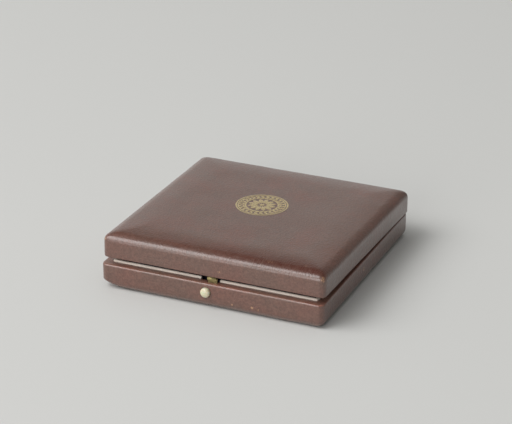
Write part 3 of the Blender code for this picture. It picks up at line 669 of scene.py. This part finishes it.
def leather_relief(shader, vector, across, along, height):
    """Pebbled grain, creases, and ribs where the leather is stretched over the front shoulder."""
    inputs = {"Vector": place(shader, (1.0, 1.0, 0.7)), "Scale": 1150.0, "Randomness": 0.9}
    cells = add_node(shader.id_data, "TexVoronoi", inputs, feature="F1")
    grain = bump(shader, cells.outputs["Distance"], 0.00020, 0.7)
    creases = noise(place(shader, (1.0, 1.0, 0.12)), 950.0, 3.0, 0.6)
    creased = bump(shader, creases, 0.00016, 0.6, grain)
    front = product(spread(along, -0.053, -0.046, 1.0, 0.0), spread(height, 0.0205, 0.0235))
    right = spread(across, -0.03, 0.04, 0.3, 1.0)
    broken = spread(noise(vector, 260.0, 3.0, 0.6), 0.35, 0.6, 0.25, 1.0)
    ribs = waves(vector, "X", 300.0, 3.5, 1.5)
    bump(shader, product(ribs, product(front, right, broken)), 0.00009, 1.0, creased)


def leather_finish(shader):
    """Fine-grained brown leather, polished by handling and rubbed pale along its edges, with painted shade in a
    band on the front crown and a painted reflection of the floor greying its foot.
    """
    even(shader, Coat_Weight=0.8, Coat_Roughness=0.26, Coat_IOR=1.55)
    vector = place(shader)
    mottle = noise(vector, 640.0, 3.0, 0.6)
    tone = leather_tone(vector, mottle)
    edge = add_node(shader.id_data, "Attribute", attribute_name="edge", attribute_type="GEOMETRY")
    rub = product(edge.outputs["Fac"], spread(noise(vector, 260.0, 6.0, 0.72), 0.60, 0.68))
    worn = mix_colours(rub, tone, "leather_worn")
    frayed = spread(noise(vector, 1500.0, 3.0, 0.6), 0.42, 0.62, 0.0, 1.6)
    scuffs = spread(product(scuffed(vector), frayed), 0.15, 0.6)
    scarred = mix_colours(scuffs, worn, "leather_scuffed")
    where = add_node(shader.id_data, "SeparateXYZ", {"Vector": vector})
    across, along, height = (where.outputs[axis] for axis in "XYZ")
    # Painted shade: a streaky dark band over the front crown, stronger to the right, stands in for the dark room
    # that the crown reflects.
    shade_streaks = spread(noise(place(shader, (1.0, 0.25, 0.25)), 600.0, 3.0, 0.6), 0.35, 0.6, 0.55, 1.0)
    crown = product(spread(along, -0.0510, -0.0405, 0.85, 0.0), spread(height, 0.0252, 0.0264))
    band = product(crown, spread(across, -0.040, 0.040, 0.15, 1.0))
    shade_banded = mix_colours(product(band, shade_streaks), scarred, "leather_painted_shade")
    # Painted reflection: the foot is greyed and paled towards the bottom, standing in for the pale floor that it
    # reflects.
    floor_reflection = spread(height, 0.0, 0.0030, 0.28, 0.0)
    feed(shader, "Base Color", mix_colours(floor_reflection, shade_banded, "leather_floor_reflection"))
    feed(shader, "Roughness", spread(mottle, 0.3, 0.7, 0.34, 0.46))
    leather_relief(shader, vector, across, along, height)


def gilt_finish(shader):
    """Gold leaf tooled into leather, worn through in specks."""
    even(shader, Roughness=0.38)
    vector = place(shader)
    specks = spread(noise(vector, 1400.0, 4.0, 0.7), 0.34, 0.46)
    feed(shader, "Base Color", mix_colours(specks, "leather", "gilt"))
    feed(shader, "Metallic", product(specks, 0.85))
    bump(shader, noise(vector, 2200.0), 0.00004, 0.4)


def brass_finish(shader):
    """Dull brass with tarnish and fine brushing."""
    even(shader, Metallic=1.0)
    tarnish = spread(noise(place(shader), 700.0, 5.0, 0.6), 0.35, 0.65)
    feed(shader, "Base Color", mix_colours(tarnish, "brass", "brass_dull"))
    feed(shader, "Roughness", spread(tarnish, 0.0, 1.0, 0.32, 0.52))
    bump(shader, noise(place(shader, (0.1, 1.0, 1.0)), 9000.0), 0.00001, 0.35)


def satin_finish(shader):
    """Cream satin: warp threads lie along it, with a soft sheen and a little soiling."""
    even(shader, Roughness=0.42, Sheen_Weight=0.35, Sheen_Roughness=0.4)
    vector = place(shader)
    soil = spread(noise(vector, 130.0, 4.0, 0.6), 0.50, 1.10)
    feed(shader, "Base Color", mix_colours(soil, "satin", "satin_dark"))
    bump(shader, waves(vector, "X", 1500.0, 1.2), 0.00002, 0.4)


def velvet_finish(shader):
    """Deep blue velvet, with painted sheen making it lighter where the pile leans."""
    even(shader, Roughness=0.9, Sheen_Weight=1.0, Sheen_Roughness=0.35, Sheen_Tint=as_input("velvet_sheen"))
    vector = place(shader)
    # Painted sheen: lighter patches of the pile's colour where the pile leans.
    lean = spread(noise(vector, 90.0, 4.0, 0.65), 0.40, 0.80, 0.0, 0.55)
    feed(shader, "Base Color", mix_colours(lean, "velvet", "velvet_sheen"))
    bump(shader, noise(vector, 5200.0, 2.0, 0.7), 0.00010, 0.6)


def ivory_finish(shader):
    """Polished ivory-coloured plastic with a faint grain."""
    even(shader, Roughness=0.28, Subsurface_Weight=0.15, Subsurface_Scale=0.001)
    vector = place(shader)
    deep = [channel * tone for channel, tone in zip(colours().ivory, IVORY_GRAIN)]
    feed(shader, "Base Color", mix_colours(waves(vector, "Z", 260.0, 3.0), "ivory", deep))
    bump(shader, noise(vector, 1800.0), 0.00001, 0.3)


def wood_finish(shader):
    """Bare beech with short dark flecks along its grain."""
    even(shader, Roughness=0.7)
    grain = noise(place(shader, (0.08, 1.0, 1.0)), 1500.0, 4.0, 0.6)
    feed(shader, "Base Color", mix_colours(spread(grain, 0.45, 0.7), "wood", "wood_dark"))
    bump(shader, grain, 0.00004, 0.4)


def paper_finish(shader, shade="paper", depth=0.00005):
    """Matt paper with a fibrous face."""
    even(shader, Roughness=0.85)
    fibres = noise(place(shader), 900.0, 5.0, 0.7)
    deep = [channel * PAPER_GRAIN for channel in getattr(colours(), shade)]
    feed(shader, "Base Color", mix_colours(spread(fibres, 0.35, 0.7), shade, deep))
    bump(shader, fibres, depth, 0.5)


def card_finish(shader):
    """Matt card with a fibrous face."""
    paper_finish(shader, "card", 0.00004)


def floor_finish(shader):
    """A matt backdrop, very slightly uneven in tone."""
    even(shader, Roughness=0.95, Specular_IOR_Level=0.1)
    pale = tuple(stage().floor)
    grey = [channel * FLOOR_GRAIN for channel in pale]
    feed(shader, "Base Color", mix_colours(noise(place(shader), 3.0), pale, grey))


FINISH_MAKERS = {
    "brown_leather": leather_finish,
    "gilt": gilt_finish,
    "brass": brass_finish,
    "cream_satin": satin_finish,
    "blue_velvet": velvet_finish,
    "ivory": ivory_finish,
    "beech": wood_finish,
    "underside_paper": paper_finish,
    "card": card_finish,
    "studio_floor": floor_finish,
}


def finish_named(name):
    """The finish of that name, made once."""
    finish = bpy.data.materials.get(f"{name}_finish")
    if finish is None:
        finish = bpy.data.materials.new(f"{name}_finish")
        finish.use_nodes = True
        FINISH_MAKERS[name](finish.node_tree.nodes["Principled BSDF"])
    return finish


def dress(piece, finish, body=None, nodes=()):
    """Gives a piece its finish, seats it on its body and hides the CAD nodes that it stands for."""
    piece.data.materials.clear()
    piece.data.materials.append(finish_named(finish))
    if body:
        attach(piece, body)
    if nodes:
        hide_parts(*nodes)
    return piece


def dress_nodes(slot, left_out=()):
    """Gives the CAD nodes of a slot its finish, and returns them."""
    rows = frame["record"]["subparts"]
    names = [row["node"] for row in rows if row["material_slot"] == slot]
    return [dress(frame["nodes"][name], slot) for name in names if name not in left_out]


# Pieces


class CaseOperator:
    """What all the operators share."""

    bl_options = {"REGISTER", "UNDO"}


def free_of_ornament(point):
    """The leather lies flat where the ornament is pressed in, and freely away from it."""
    size = sizes()
    away = math.hypot(point.x - size.emblem_right, point.y - size.emblem_back)
    return min(1.0, max(0.0, away / size.emblem_radius - ORNAMENT_MARGIN))


def seat_lid_fittings(piece, low):
    """Cuts the seats of the keeper bar and the two hinges."""
    gap = sizes().clearance
    over = sizes().rim_radius
    bar_low, bar_high = shut_box("keeper_plate")
    inner = low.y + sizes().ledge + over
    seat_low = Vector((bar_low.x - gap, bar_low.y - gap, low.z - over))
    cut_block(piece, seat_low, Vector((bar_high.x + gap, inner, bar_high.z + gap)))
    rail_foot = shut_box("lid_rail_back")[0].z
    cut_hinge_seats(piece, -inner, over - low.y, low.z - over, rail_foot)


def lid_wear(point, half, shoulder):
    """How much the leather is rubbed: along the shoulder, most of all at front and corners."""
    side, corner = side_and_corner(point, half)
    ridge = bell(side, SHOULDER_WEAR) * bell(point.z - shoulder, SHOULDER_WEAR_HEIGHT)
    front = 1.0 if point.y < 0 and abs(point.y) >= abs(point.x) else SIDE_WEAR
    return min(1.0, ridge * front * (RIDGE_RUB + corner))


class CASE_OT_lid_skin(CaseOperator, bpy.types.Operator):
    """Stretch the leather over the lid: walls, shoulder, rounded crown and flat top"""

    bl_idname = "medal_case.lid_skin"
    bl_label = "Lid skin"

    def execute(self, context):
        size = sizes()
        low, high = shut_box("lid_leather")
        half = (high.x - low.x) / 2
        skin = Skin("lid_skin", half, size.corner_radius, size.lid_hip, low.z + size.rim_radius)
        skin.rise(size.wall_height - size.rim_radius, WALL_RINGS)
        skin.rings(arc_runs(size.shoulder_radius, 0.0, size.shoulder_turn, SHOULDER_STEPS))
        skin.rings(arc_runs(size.crown_radius, size.shoulder_turn, size.crown_turn, CROWN_STEPS))
        skin.rings(arc_runs(size.dome_radius, size.crown_turn, math.pi / 2, DOME_STEPS))
        skin.turn_down()
        skin.rings(arc_runs(size.rim_radius, 0.0, math.pi / 2, RIM_STEPS))
        skin.run_in(size.lid_turn_in - size.rim_radius, LID_TURN_IN_RINGS)
        skin.open_cap()
        skin.cut_sides()
        skin.close_top(TOP_RINGS)
        piece = skin.piece
        close_edit(piece)
        lay_unevenly(piece, 0.0, free_of_ornament)
        near = low.z + size.rim_radius / 2
        press(piece, half - size.rim_radius * CLEAR_OF_RIM, lambda height: height < near, low.z)
        thicken(piece)
        shoulder = low.z + size.wall_height + size.shoulder_radius * math.sin(size.shoulder_turn / 2)
        keep_value(piece, "edge", lambda point: lid_wear(point, half, shoulder))
        piece.data.transform(Matrix.Translation((high.x - half, 0.0, 0.0)))
        seat_lid_fittings(piece, low)
        close_edit(piece, SMOOTH_SKIN)
        tip_with_lid(piece)
        dress(piece, "brown_leather", "lid", ["lid_leather"])
        return {"FINISHED"}


def wear_corner(piece, half):
    """Rounds the front left corner more and more towards its foot, where it is worn away."""
    size = sizes()
    for vertex in piece.data.vertices:
        fall = size.foot_radius - vertex.co.z
        if fall <= 0.0:
            continue
        inset = size.foot_radius - math.sqrt(max(0.0, size.foot_radius**2 - fall**2))
        sharp = max(size.corner_radius - inset, size.base_hip)
        radius = sharp + size.corner_wear * (fall / size.foot_radius) ** CORNER_WEAR_CURVE
        centre = Vector((inset + radius - half, inset + radius - half))
        away = vertex.co.to_2d() - centre
        if away.x >= 0.0 or away.y >= 0.0:
            continue
        steep = max(-away.x, -away.y) / away.length
        lean = math.acos(min(1.0, (-away.x - away.y) / (away.length * math.sqrt(2))))
        outline = radius / steep
        if lean < math.pi / 4 - math.atan((radius - sharp) / radius):
            across = (radius - sharp) * math.sqrt(2)
            outline = across * math.cos(lean) + math.sqrt(sharp**2 - (across * math.sin(lean)) ** 2)
        inwards = half + min(vertex.co.x, vertex.co.y)
        share_worn = (size.turn_in - inwards) / (size.turn_in - size.foot_radius)
        worn = centre + away * radius / outline
        vertex.co.xy = vertex.co.to_2d().lerp(worn, min(1.0, max(0.0, share_worn)))


def seat_base_fittings(piece, low, high):
    """Cuts the button's hole, the catch's slot and the hinges' seats."""
    size = sizes()
    gap = size.clearance
    over = size.rim_radius
    cap_low, cap_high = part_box("button_cap")
    middle = (cap_low + cap_high) / 2
    middle.y = low.y
    radius = size.button_radius + gap
    bore = start_cylinder("button_bore", BORE_FACES, radius, size.ledge, middle, upright=False)
    close_edit(bore)
    cut_with(piece, bore)
    strip = frame["nodes"]["catch_strip"].data.vertices
    nose_low, nose_high = box_round([vertex.co for vertex in strip if vertex.co.z > high.z])
    rail_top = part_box("base_rail_front")[1].z
    slot_low = Vector((nose_low.x - gap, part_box("catch_foot")[0].y - gap, rail_top - gap))
    slot_high = Vector((nose_high.x + gap, low.y + size.ledge + over, high.z + over))
    cut_block(piece, slot_low, slot_high)
    cut_hinge_seats(piece, -low.y - size.ledge - over, over - low.y, rail_top, high.z + over)


def base_wear(point, half, top):
    """How much the leather is rubbed: along the rim and at the corners' feet."""
    side, corner = side_and_corner(point, half)
    rim = bell(side, RIM_WEAR) * bell(point.z - top, RIM_WEAR_HEIGHT)
    foot = bell(side, FOOT_WEAR) * bell(point.z - FOOT_WEAR_LEVEL, FOOT_WEAR_HEIGHT)
    return min(1.0, rim * (RIM_RUB + corner) + foot * (FOOT_RUB + FOOT_CORNER_RUB * corner))


class CASE_OT_base_skin(CaseOperator, bpy.types.Operator):
    """Stretch the leather over the base: foot, walls and the ledge inside the rim"""

    bl_idname = "medal_case.base_skin"
    bl_label = "Base skin"

    def execute(self, context):
        size = sizes()
        low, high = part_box("base_leather")
        skin = Skin("base_skin", high.x, size.corner_radius, size.base_hip, low.z + size.foot_radius)
        skin.rise(high.z - low.z - size.foot_radius - size.rim_radius, WALL_RINGS)
        skin.rings(arc_runs(size.rim_radius, 0.0, math.pi / 2, RIM_STEPS))
        skin.run_in(size.ledge - size.rim_radius, LEDGE_RINGS)
        skin.open_cap()
        skin.turn_down()
        skin.rings(arc_runs(size.foot_radius, 0.0, math.pi / 2, FOOT_STEPS))
        skin.run_in(size.turn_in - size.foot_radius, BASE_TURN_IN_RINGS)
        skin.open_cap()
        skin.cut_sides()
        piece = skin.piece
        close_edit(piece)
        lay_unevenly(piece, 0.31)
        near = size.unevenness
        press(piece, high.x - size.foot_radius * CLEAR_OF_FOOT, lambda height: height < low.z + near, low.z)
        press(piece, high.x - size.rim_radius, lambda height: height > high.z - near, high.z)
        wear_corner(piece, high.x)
        thicken(piece)
        seat_base_fittings(piece, low, high)
        keep_value(piece, "edge", lambda point: base_wear(point, high.x, high.z))
        close_edit(piece, SMOOTH_SKIN)
        dress(piece, "brown_leather", "base", ["base_leather"])
        return {"FINISHED"}


def press_in(piece):
    """Moves a part of the ornament, made round the origin, to its place on the lid."""
    low, high = shut_box("lid_leather")
    middle = (low.x + high.x) / 2
    piece.data.transform(Matrix.Translation((middle + sizes().emblem_right, sizes().emblem_back, 0.0)))
    tip_with_lid(piece)
    dress(piece, "gilt", "lid")


def gilt_ring(name, radius, weight, level):
    """A thin gilt ring with a rounded top."""
    size = sizes()
    half = size.gilt_line * weight
    piece = start_piece(
        name,
        bpy.ops.mesh.primitive_torus_add,
        major_radius=radius,
        minor_radius=half,
        major_segments=144,
        minor_segments=10,
        location=(0.0, 0.0, level),
    )
    stretch((1.0, 1.0, size.gilt_rise / half), level)
    close_edit(piece, SMOOTH_ROUND)
    press_in(piece)


def leaf(name, middle, long_half, wide_half, turn, level):
    """A pointed leaf with a raised middle, left open in edit mode."""
    size = sizes()
    piece = start_piece(
        name,
        bpy.ops.mesh.primitive_circle_add,
        vertices=12,
        radius=long_half,
        fill_type="NGON",
        location=(0.0, 0.0, level - size.gilt_rise),
    )
    stretch((1.0, wide_half / long_half, 1.0), level)
    pick(piece, "VERT", lambda v: abs(v.co.x) > long_half * LEAF_TIP_START)
    stretch((1.0, LEAF_TIP_WIDTH, 1.0), level)
    bpy.ops.mesh.select_all(action="SELECT")
    extrude((0.0, 0.0, size.gilt_rise * 1.6))
    bpy.ops.mesh.inset(thickness=wide_half * 0.35, depth=size.gilt_rise * 0.6)
    bpy.ops.mesh.select_all(action="SELECT")
    bpy.ops.mesh.normals_make_consistent(inside=False)
    piece.data.update()
    bpy.ops.object.mode_set(mode="OBJECT")
    piece.data.transform(Matrix.Translation(middle) @ Matrix.Rotation(turn, 4, "Z"))
    bpy.ops.object.mode_set(mode="EDIT")
    return piece


def leaves_round(name, copies, middle, long_half, wide_half, turn, level):
    """Leaves at even steps round the ornament's centre."""
    place_of_first = Vector((middle, 0.0, 0.0))
    piece = leaf(name, place_of_first, long_half, wide_half, turn, level)
    bpy.ops.mesh.select_all(action="SELECT")
    centre = (0.0, 0.0, level)
    for _ in range(copies - 1):
        bpy.ops.mesh.duplicate()
        bpy.ops.transform.rotate(value=math.tau / copies, orient_axis="Z", center_override=centre)
    close_edit(piece)
    return piece


def garland(name, radius, level):
    """Pairs of slanted leaves in a ring."""
    pairs = sizes().leaf_pairs
    pitch = math.tau * radius / pairs
    halves = []
    for sign, label in ((1.0, "out"), (-1.0, "in")):
        middle = radius + sign * pitch * LEAF_OFFSET
        shape = (pitch * LEAF_LENGTH, pitch * LEAF_WIDTH, math.pi / 2 - sign * LEAF_SLANT)
        halves.append(leaves_round(f"{name}_{label}", pairs, middle, *shape, level))
    piece = halves[0]
    join(piece, halves[1])
    piece.name = name
    close_edit(piece, SMOOTH_PIECE)
    press_in(piece)


def rosette(name, radius, level):
    """Petals round a button."""
    size = sizes()
    shape = (radius * PETAL_OFFSET, radius * PETAL_LENGTH, radius * PETAL_WIDTH, 0.0)
    piece = leaves_round(name, size.petals, *shape, level)
    bead = start_piece(
        f"{name}_bead",
        bpy.ops.mesh.primitive_uv_sphere_add,
        segments=24,
        ring_count=12,
        radius=radius * BEAD,
        location=(0.0, 0.0, level),
    )
    stretch((1.0, 1.0, size.gilt_rise * 1.5 / (radius * BEAD)), level)
    close_edit(bead)
    join(piece, bead)
    close_edit(piece, SMOOTH_PIECE)
    press_in(piece)


class CASE_OT_emblem(CaseOperator, bpy.types.Operator):
    """Tool the gilt ornament into the lid: four lines, a garland of leaves and a rosette"""

    bl_idname = "medal_case.emblem"
    bl_label = "Gilt ornament"

    def execute(self, context):
        size = sizes()
        level = shut_box("lid_leather")[1].z
        radius = size.emblem_radius
        for name, share_of_radius, weight in (
            ("outer", 1.0, 1.0),
            ("middle", 0.92, 0.7),
            ("inner", 0.64, 1.0),
            ("heart", 0.30, 0.8),
        ):
            gilt_ring(f"emblem_line_{name}", radius * share_of_radius, weight, level)
        garland("emblem_garland", radius * GARLAND_RADIUS, level)
        rosette("emblem_rosette", radius * ROSETTE_RADIUS, level)
        return {"FINISHED"}


def soften_rim(piece, level, width, segments):
    """Rounds the sharp edges at a level, and closes the piece."""
    low = level - sizes().clearance
    pick(
        piece,
        "EDGE",
        lambda edge: min(v.co.z for v in edge.verts) > low and edge.calc_face_angle(0.0) > SHARP_TURN,
    )
    bpy.ops.mesh.bevel(offset=width, segments=segments, affect="EDGES")
    close_edit(piece, SMOOTH_PIECE)


def velvet_disc(name, radius, centre_y):
    """A disc of velvet at the level of the recess's floor."""
    low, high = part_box("recess_floor")
    middle = (0.0, centre_y, (low.z + high.z) / 2)
    piece = start_cylinder(name, ROUND_FACES, radius, high.z - low.z, middle)
    close_edit(piece)
    return piece


def tray_floor():
    """The recess's padded floor with a soft rim, and the crescent below the finger cut."""
    size = sizes()
    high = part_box("recess_floor")[1]
    piece = velvet_disc("recess_velvet", high.x, 0.0)
    edit(piece)
    soften_rim(piece, high.z, size.tray_edge / 2, 4)
    dress(piece, "blue_velvet", "base", ["recess_floor"])
    crescent = velvet_disc("finger_velvet", size.finger_radius - size.clearance, -size.recess_radius)
    cut_with(crescent, velvet_disc("crescent_cutter", high.x - size.tray_edge / 2, 0.0))
    edit(crescent)
    bpy.ops.mesh.select_all(action="SELECT")
    bpy.ops.mesh.quads_convert_to_tris(quad_method="BEAUTY", ngon_method="BEAUTY")
    bpy.ops.mesh.normals_make_consistent(inside=False)
    close_edit(crescent)
    dress(crescent, "blue_velvet", "base")


class CASE_OT_tray(CaseOperator, bpy.types.Operator):
    """Model the velvet tray with its medal recess and finger cut, and the recess's floor"""

    bl_idname = "medal_case.tray"
    bl_label = "Velvet tray"

    def execute(self, context):
        size = sizes()
        low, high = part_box("medal_pad")
        piece = start_block("tray_velvet", low, high)
        bpy.ops.mesh.subdivide(number_cuts=size.tray_cuts)
        near = size.clearance
        pick(
            piece,
            "EDGE",
            lambda edge: all(
                min(high.x - v.co.x, v.co.x - low.x) < near and min(high.y - v.co.y, v.co.y - low.y) < near
                for v in edge.verts
            ),
        )
        bpy.ops.mesh.bevel(offset=size.tray_edge, segments=5, affect="EDGES")
        close_edit(piece)
        middle = (low + high) / 2
        depth = (high.z - low.z) * 2
        for faces, radius, centre_y in (
            (ROUND_FACES, size.recess_radius, 0.0),
            (ROUND_FACES // 2, size.finger_radius, -size.recess_radius),
        ):
            cutter = start_cylinder("recess_cutter", faces, radius, depth, (0.0, centre_y, middle.z))
            close_edit(cutter)
            cut_with(piece, cutter)
        edit(piece)
        soften_rim(piece, high.z, size.tray_edge, 6)
        dress(piece, "blue_velvet", "base", ["medal_pad"])
        tray_floor()
        return {"FINISHED"}


def fill_pad(piece, glued_level):
    """Blows the pad up gently while its back stays glued, and caps how far it moves."""
    size = sizes()
    before = [vertex.co.copy() for vertex in piece.data.vertices]
    glued = piece.vertex_groups.new(name="glued")
    held = [i for i, point in enumerate(before) if point.z > glued_level - size.lining_start / 3]
    glued.add(held, 1.0, "REPLACE")
    modifier = piece.modifiers.new("fill", "CLOTH")
    for name, value in SATIN_CLOTH.items():
        setattr(modifier.settings, name, value)
    modifier.settings.vertex_group_mass = "glued"
    modifier.settings.effector_weights.gravity = 0.0
    modifier.collision_settings.use_self_collision = False
    for number in range(1, FILL_FRAMES + 1):
        bpy.context.scene.frame_set(number)
    only(piece)
    bpy.ops.object.modifier_apply(modifier=modifier.name)
    bpy.context.scene.frame_set(1)
    for vertex, start in zip(piece.data.vertices, before):
        step = vertex.co - start
        if step.length > size.lining_cap:
            vertex.co = start + step.normalized() * size.lining_cap
    piece.data.update()


class CASE_OT_lining(CaseOperator, bpy.types.Operator):
    """Fill the satin pad inside the lid by a short cloth simulation"""

    bl_idname = "medal_case.lining"
    bl_label = "Satin lining"

    def execute(self, context):
        size = sizes()
        low, high = shut_box("lining_pad")
        gap = size.clearance
        start_low = Vector((low.x + gap, low.y + gap, high.z - size.lining_start))
        piece = start_block("lining_satin", start_low, high - Vector((gap, gap, 0.0)))
        pick(piece, "EDGE", lambda edge: abs(edge.verts[0].co.z - edge.verts[1].co.z) > size.leather)
        bpy.ops.mesh.bevel(offset=size.corner_radius, segments=6, affect="EDGES")
        close_edit(piece)
        only(piece)
        piece.data.remesh_voxel_size = size.lining_voxel
        bpy.ops.object.voxel_remesh()
        fill_pad(piece, high.z)
        apply_modifier(piece, "SUBSURF", levels=1, render_levels=1)
        close_edit(piece, SMOOTH_ROUND)
        tip_with_lid(piece)
        dress(piece, "cream_satin", "lid", ["lining_pad"])
        return {"FINISHED"}


class CASE_OT_button(CaseOperator, bpy.types.Operator):
    """Turn the domed push button"""

    bl_idname = "medal_case.button"
    bl_label = "Push button"

    def execute(self, context):
        size = sizes()
        low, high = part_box("button_cap")
        middle = (low + high) / 2
        back = high.y
        middle.y = back - size.button_body / 2
        piece = start_cylinder(
            "button_dome", BUTTON_FACES, size.button_radius, size.button_body, middle, upright=False
        )
        front = back - size.button_body + size.clearance / 10
        pick_cap(piece, lambda point: point.y < front)
        runs = arc_runs(size.button_radius, 0.0, math.pi / 2, BUTTON_STEPS)
        flatness = size.button_dome / size.button_radius
        for run, rise in runs[:-1]:
            bpy.ops.mesh.inset(thickness=run, depth=rise * flatness)
        extrude((0.0, -runs[-1][1] * flatness, 0.0))
        bpy.ops.mesh.merge(type="CENTER")
        close_edit(piece, SMOOTH_PIECE)
        dress(piece, "ivory", "button", ["button_cap"])
        return {"FINISHED"}


def round_edges(node, width):
    """Modifiers that join a node's loose triangles and round its sharp edges."""
    weld = node.modifiers.new("weld", "WELD")
    weld.merge_threshold = width / 100
    bevel = node.modifiers.new("edge", "BEVEL")
    bevel.width = width
    bevel.segments = 2
    bevel.limit_method = "ANGLE"
    bevel.angle_limit = METAL_EDGE_ANGLE
    bevel.harden_normals = True


class CASE_OT_fittings(CaseOperator, bpy.types.Operator):
    """Round the edges of the brass pieces, and finish them, the wood, the satin strips and the card"""

    bl_idname = "medal_case.fittings"
    bl_label = "Fittings and hidden pieces"

    def execute(self, context):
        dressed = {slot: dress_nodes(slot, left_out=("lining_pad",)) for slot in CARRIED_OVER}
        for node in dressed["brass"]:
            round_edges(node, sizes().metal_edge)
        return {"FINISHED"}


def lay_floor():
    piece = start_piece("studio_floor", bpy.ops.mesh.primitive_plane_add, size=stage().floor_size)
    close_edit(piece)
    piece.data.materials.append(finish_named("studio_floor"))


def light_room():
    """A pale room: its walls show in gloss, and get darker towards the ceiling."""
    setting = stage()
    world = bpy.data.worlds.new("studio")
    bpy.context.scene.world = world
    world.use_nodes = True
    tree = world.node_tree
    background = tree.nodes["Background"]
    direction = add_node(tree, "TexCoord").outputs["Generated"]
    parts = add_node(tree, "SeparateXYZ", {"Vector": direction})
    right = parts.outputs["X"]
    height = parts.outputs["Z"]
    bright = math.sin(setting.bright_below)
    fall = spread(height, bright, math.sin(setting.dark_above), 1.0, setting.zenith)
    low = spread(height, 0.0, bright, setting.horizon, setting.wall_gloss)
    pale = tuple(setting.floor)
    shade = spread(right, -0.25, 0.10, 1.0, setting.right_gloss)
    walls = self_lit(product(fall, low, shade), pale)
    rise = spread(height, 0.0, 1.0, setting.fill_level, setting.fill_above)
    side = spread(right, -1.0, 1.0, setting.fill, setting.fill * setting.right_fill)
    around = self_lit(product(rise, side), pale)
    rays = add_node(tree, "LightPath").outputs
    glossy = mix_colours(rays["Is Glossy Ray"], around, walls)
    seen = combine("MAXIMUM", rays["Is Camera Ray"], rays["Is Transmission Ray"])
    feed(background, "Color", mix_colours(seen, glossy, pale))
    background.inputs["Strength"].default_value = 1.0


def hang(name, data, azimuth, elevation, distance, target=(0.0, 0.0, 0.0)):
    """Places a lamp or camera so that it faces a point; azimuth turns to the right of the front."""
    piece = bpy.data.objects.new(name, data)
    bpy.context.scene.collection.objects.link(piece)
    across, along = math.sin(azimuth) * math.cos(elevation), math.cos(azimuth) * math.cos(elevation)
    away = Vector((across, -along, math.sin(elevation)))
    piece.location = Vector(target) + away * distance
    piece.rotation_euler = away.to_track_quat("Z", "Y").to_euler()
    return piece


def hang_lamp(name, azimuth, elevation, size, power):
    """A large soft lamp that faces the case; its azimuth turns to the left of the front."""
    lamp = bpy.data.lights.new(name, "AREA")
    lamp.shape = "SQUARE"
    lamp.size = size
    lamp.energy = power
    hang(name, lamp, -azimuth, elevation, stage().lamp_distance)


def set_camera():
    setting = stage()
    lens = bpy.data.cameras.new("camera")
    lens.lens = setting.lens
    piece = hang("camera", lens, setting.azimuth, setting.elevation, setting.distance, setting.target)
    bpy.context.scene.camera = piece
    bpy.context.scene.view_settings.view_transform = "Standard"


class CASE_OT_stage(CaseOperator, bpy.types.Operator):
    """Lay the floor, light the room, hang the lamps and set the camera"""

    bl_idname = "medal_case.stage"
    bl_label = "Studio"

    def execute(self, context):
        lay_floor()
        light_room()
        setting = stage()
        for name in ("key", "front"):
            parts = ("azimuth", "elevation", "size", "power")
            hang_lamp(name, *(getattr(setting, f"{name}_{part}") for part in parts))
        set_camera()
        return {"FINISHED"}


PIECE_OPERATORS = (
    CASE_OT_lid_skin,
    CASE_OT_base_skin,
    CASE_OT_emblem,
    CASE_OT_tray,
    CASE_OT_lining,
    CASE_OT_button,
    CASE_OT_fittings,
    CASE_OT_stage,
)


class CASE_PT_pieces(bpy.types.Panel):
    bl_label = "Medal Case"
    bl_idname = "CASE_PT_pieces"
    bl_space_type = "VIEW_3D"
    bl_region_type = "UI"
    bl_category = "Medal Case"

    def draw(self, context):
        for operator in PIECE_OPERATORS:
            self.layout.operator(operator.bl_idname)


CLASSES = (MedalCaseSizes, MedalCaseColours, MedalCaseStage, *PIECE_OPERATORS, CASE_PT_pieces)


def register():
    for item in CLASSES:
        bpy.utils.register_class(item)
    bpy.types.Scene.medal_case_sizes = PointerProperty(type=MedalCaseSizes)
    bpy.types.Scene.medal_case_colours = PointerProperty(type=MedalCaseColours)
    bpy.types.Scene.medal_case_stage = PointerProperty(type=MedalCaseStage)


def unregister():
    del bpy.types.Scene.medal_case_stage
    del bpy.types.Scene.medal_case_colours
    del bpy.types.Scene.medal_case_sizes
    for item in reversed(CLASSES):
        bpy.utils.unregister_class(item)


def main():
    register()
    bpy.ops.medal_case.lid_skin()
    bpy.ops.medal_case.base_skin()
    bpy.ops.medal_case.emblem()
    bpy.ops.medal_case.tray()
    bpy.ops.medal_case.lining()
    bpy.ops.medal_case.button()
    bpy.ops.medal_case.fittings()
    bpy.ops.medal_case.stage()


if __name__ == "__main__":
    main()
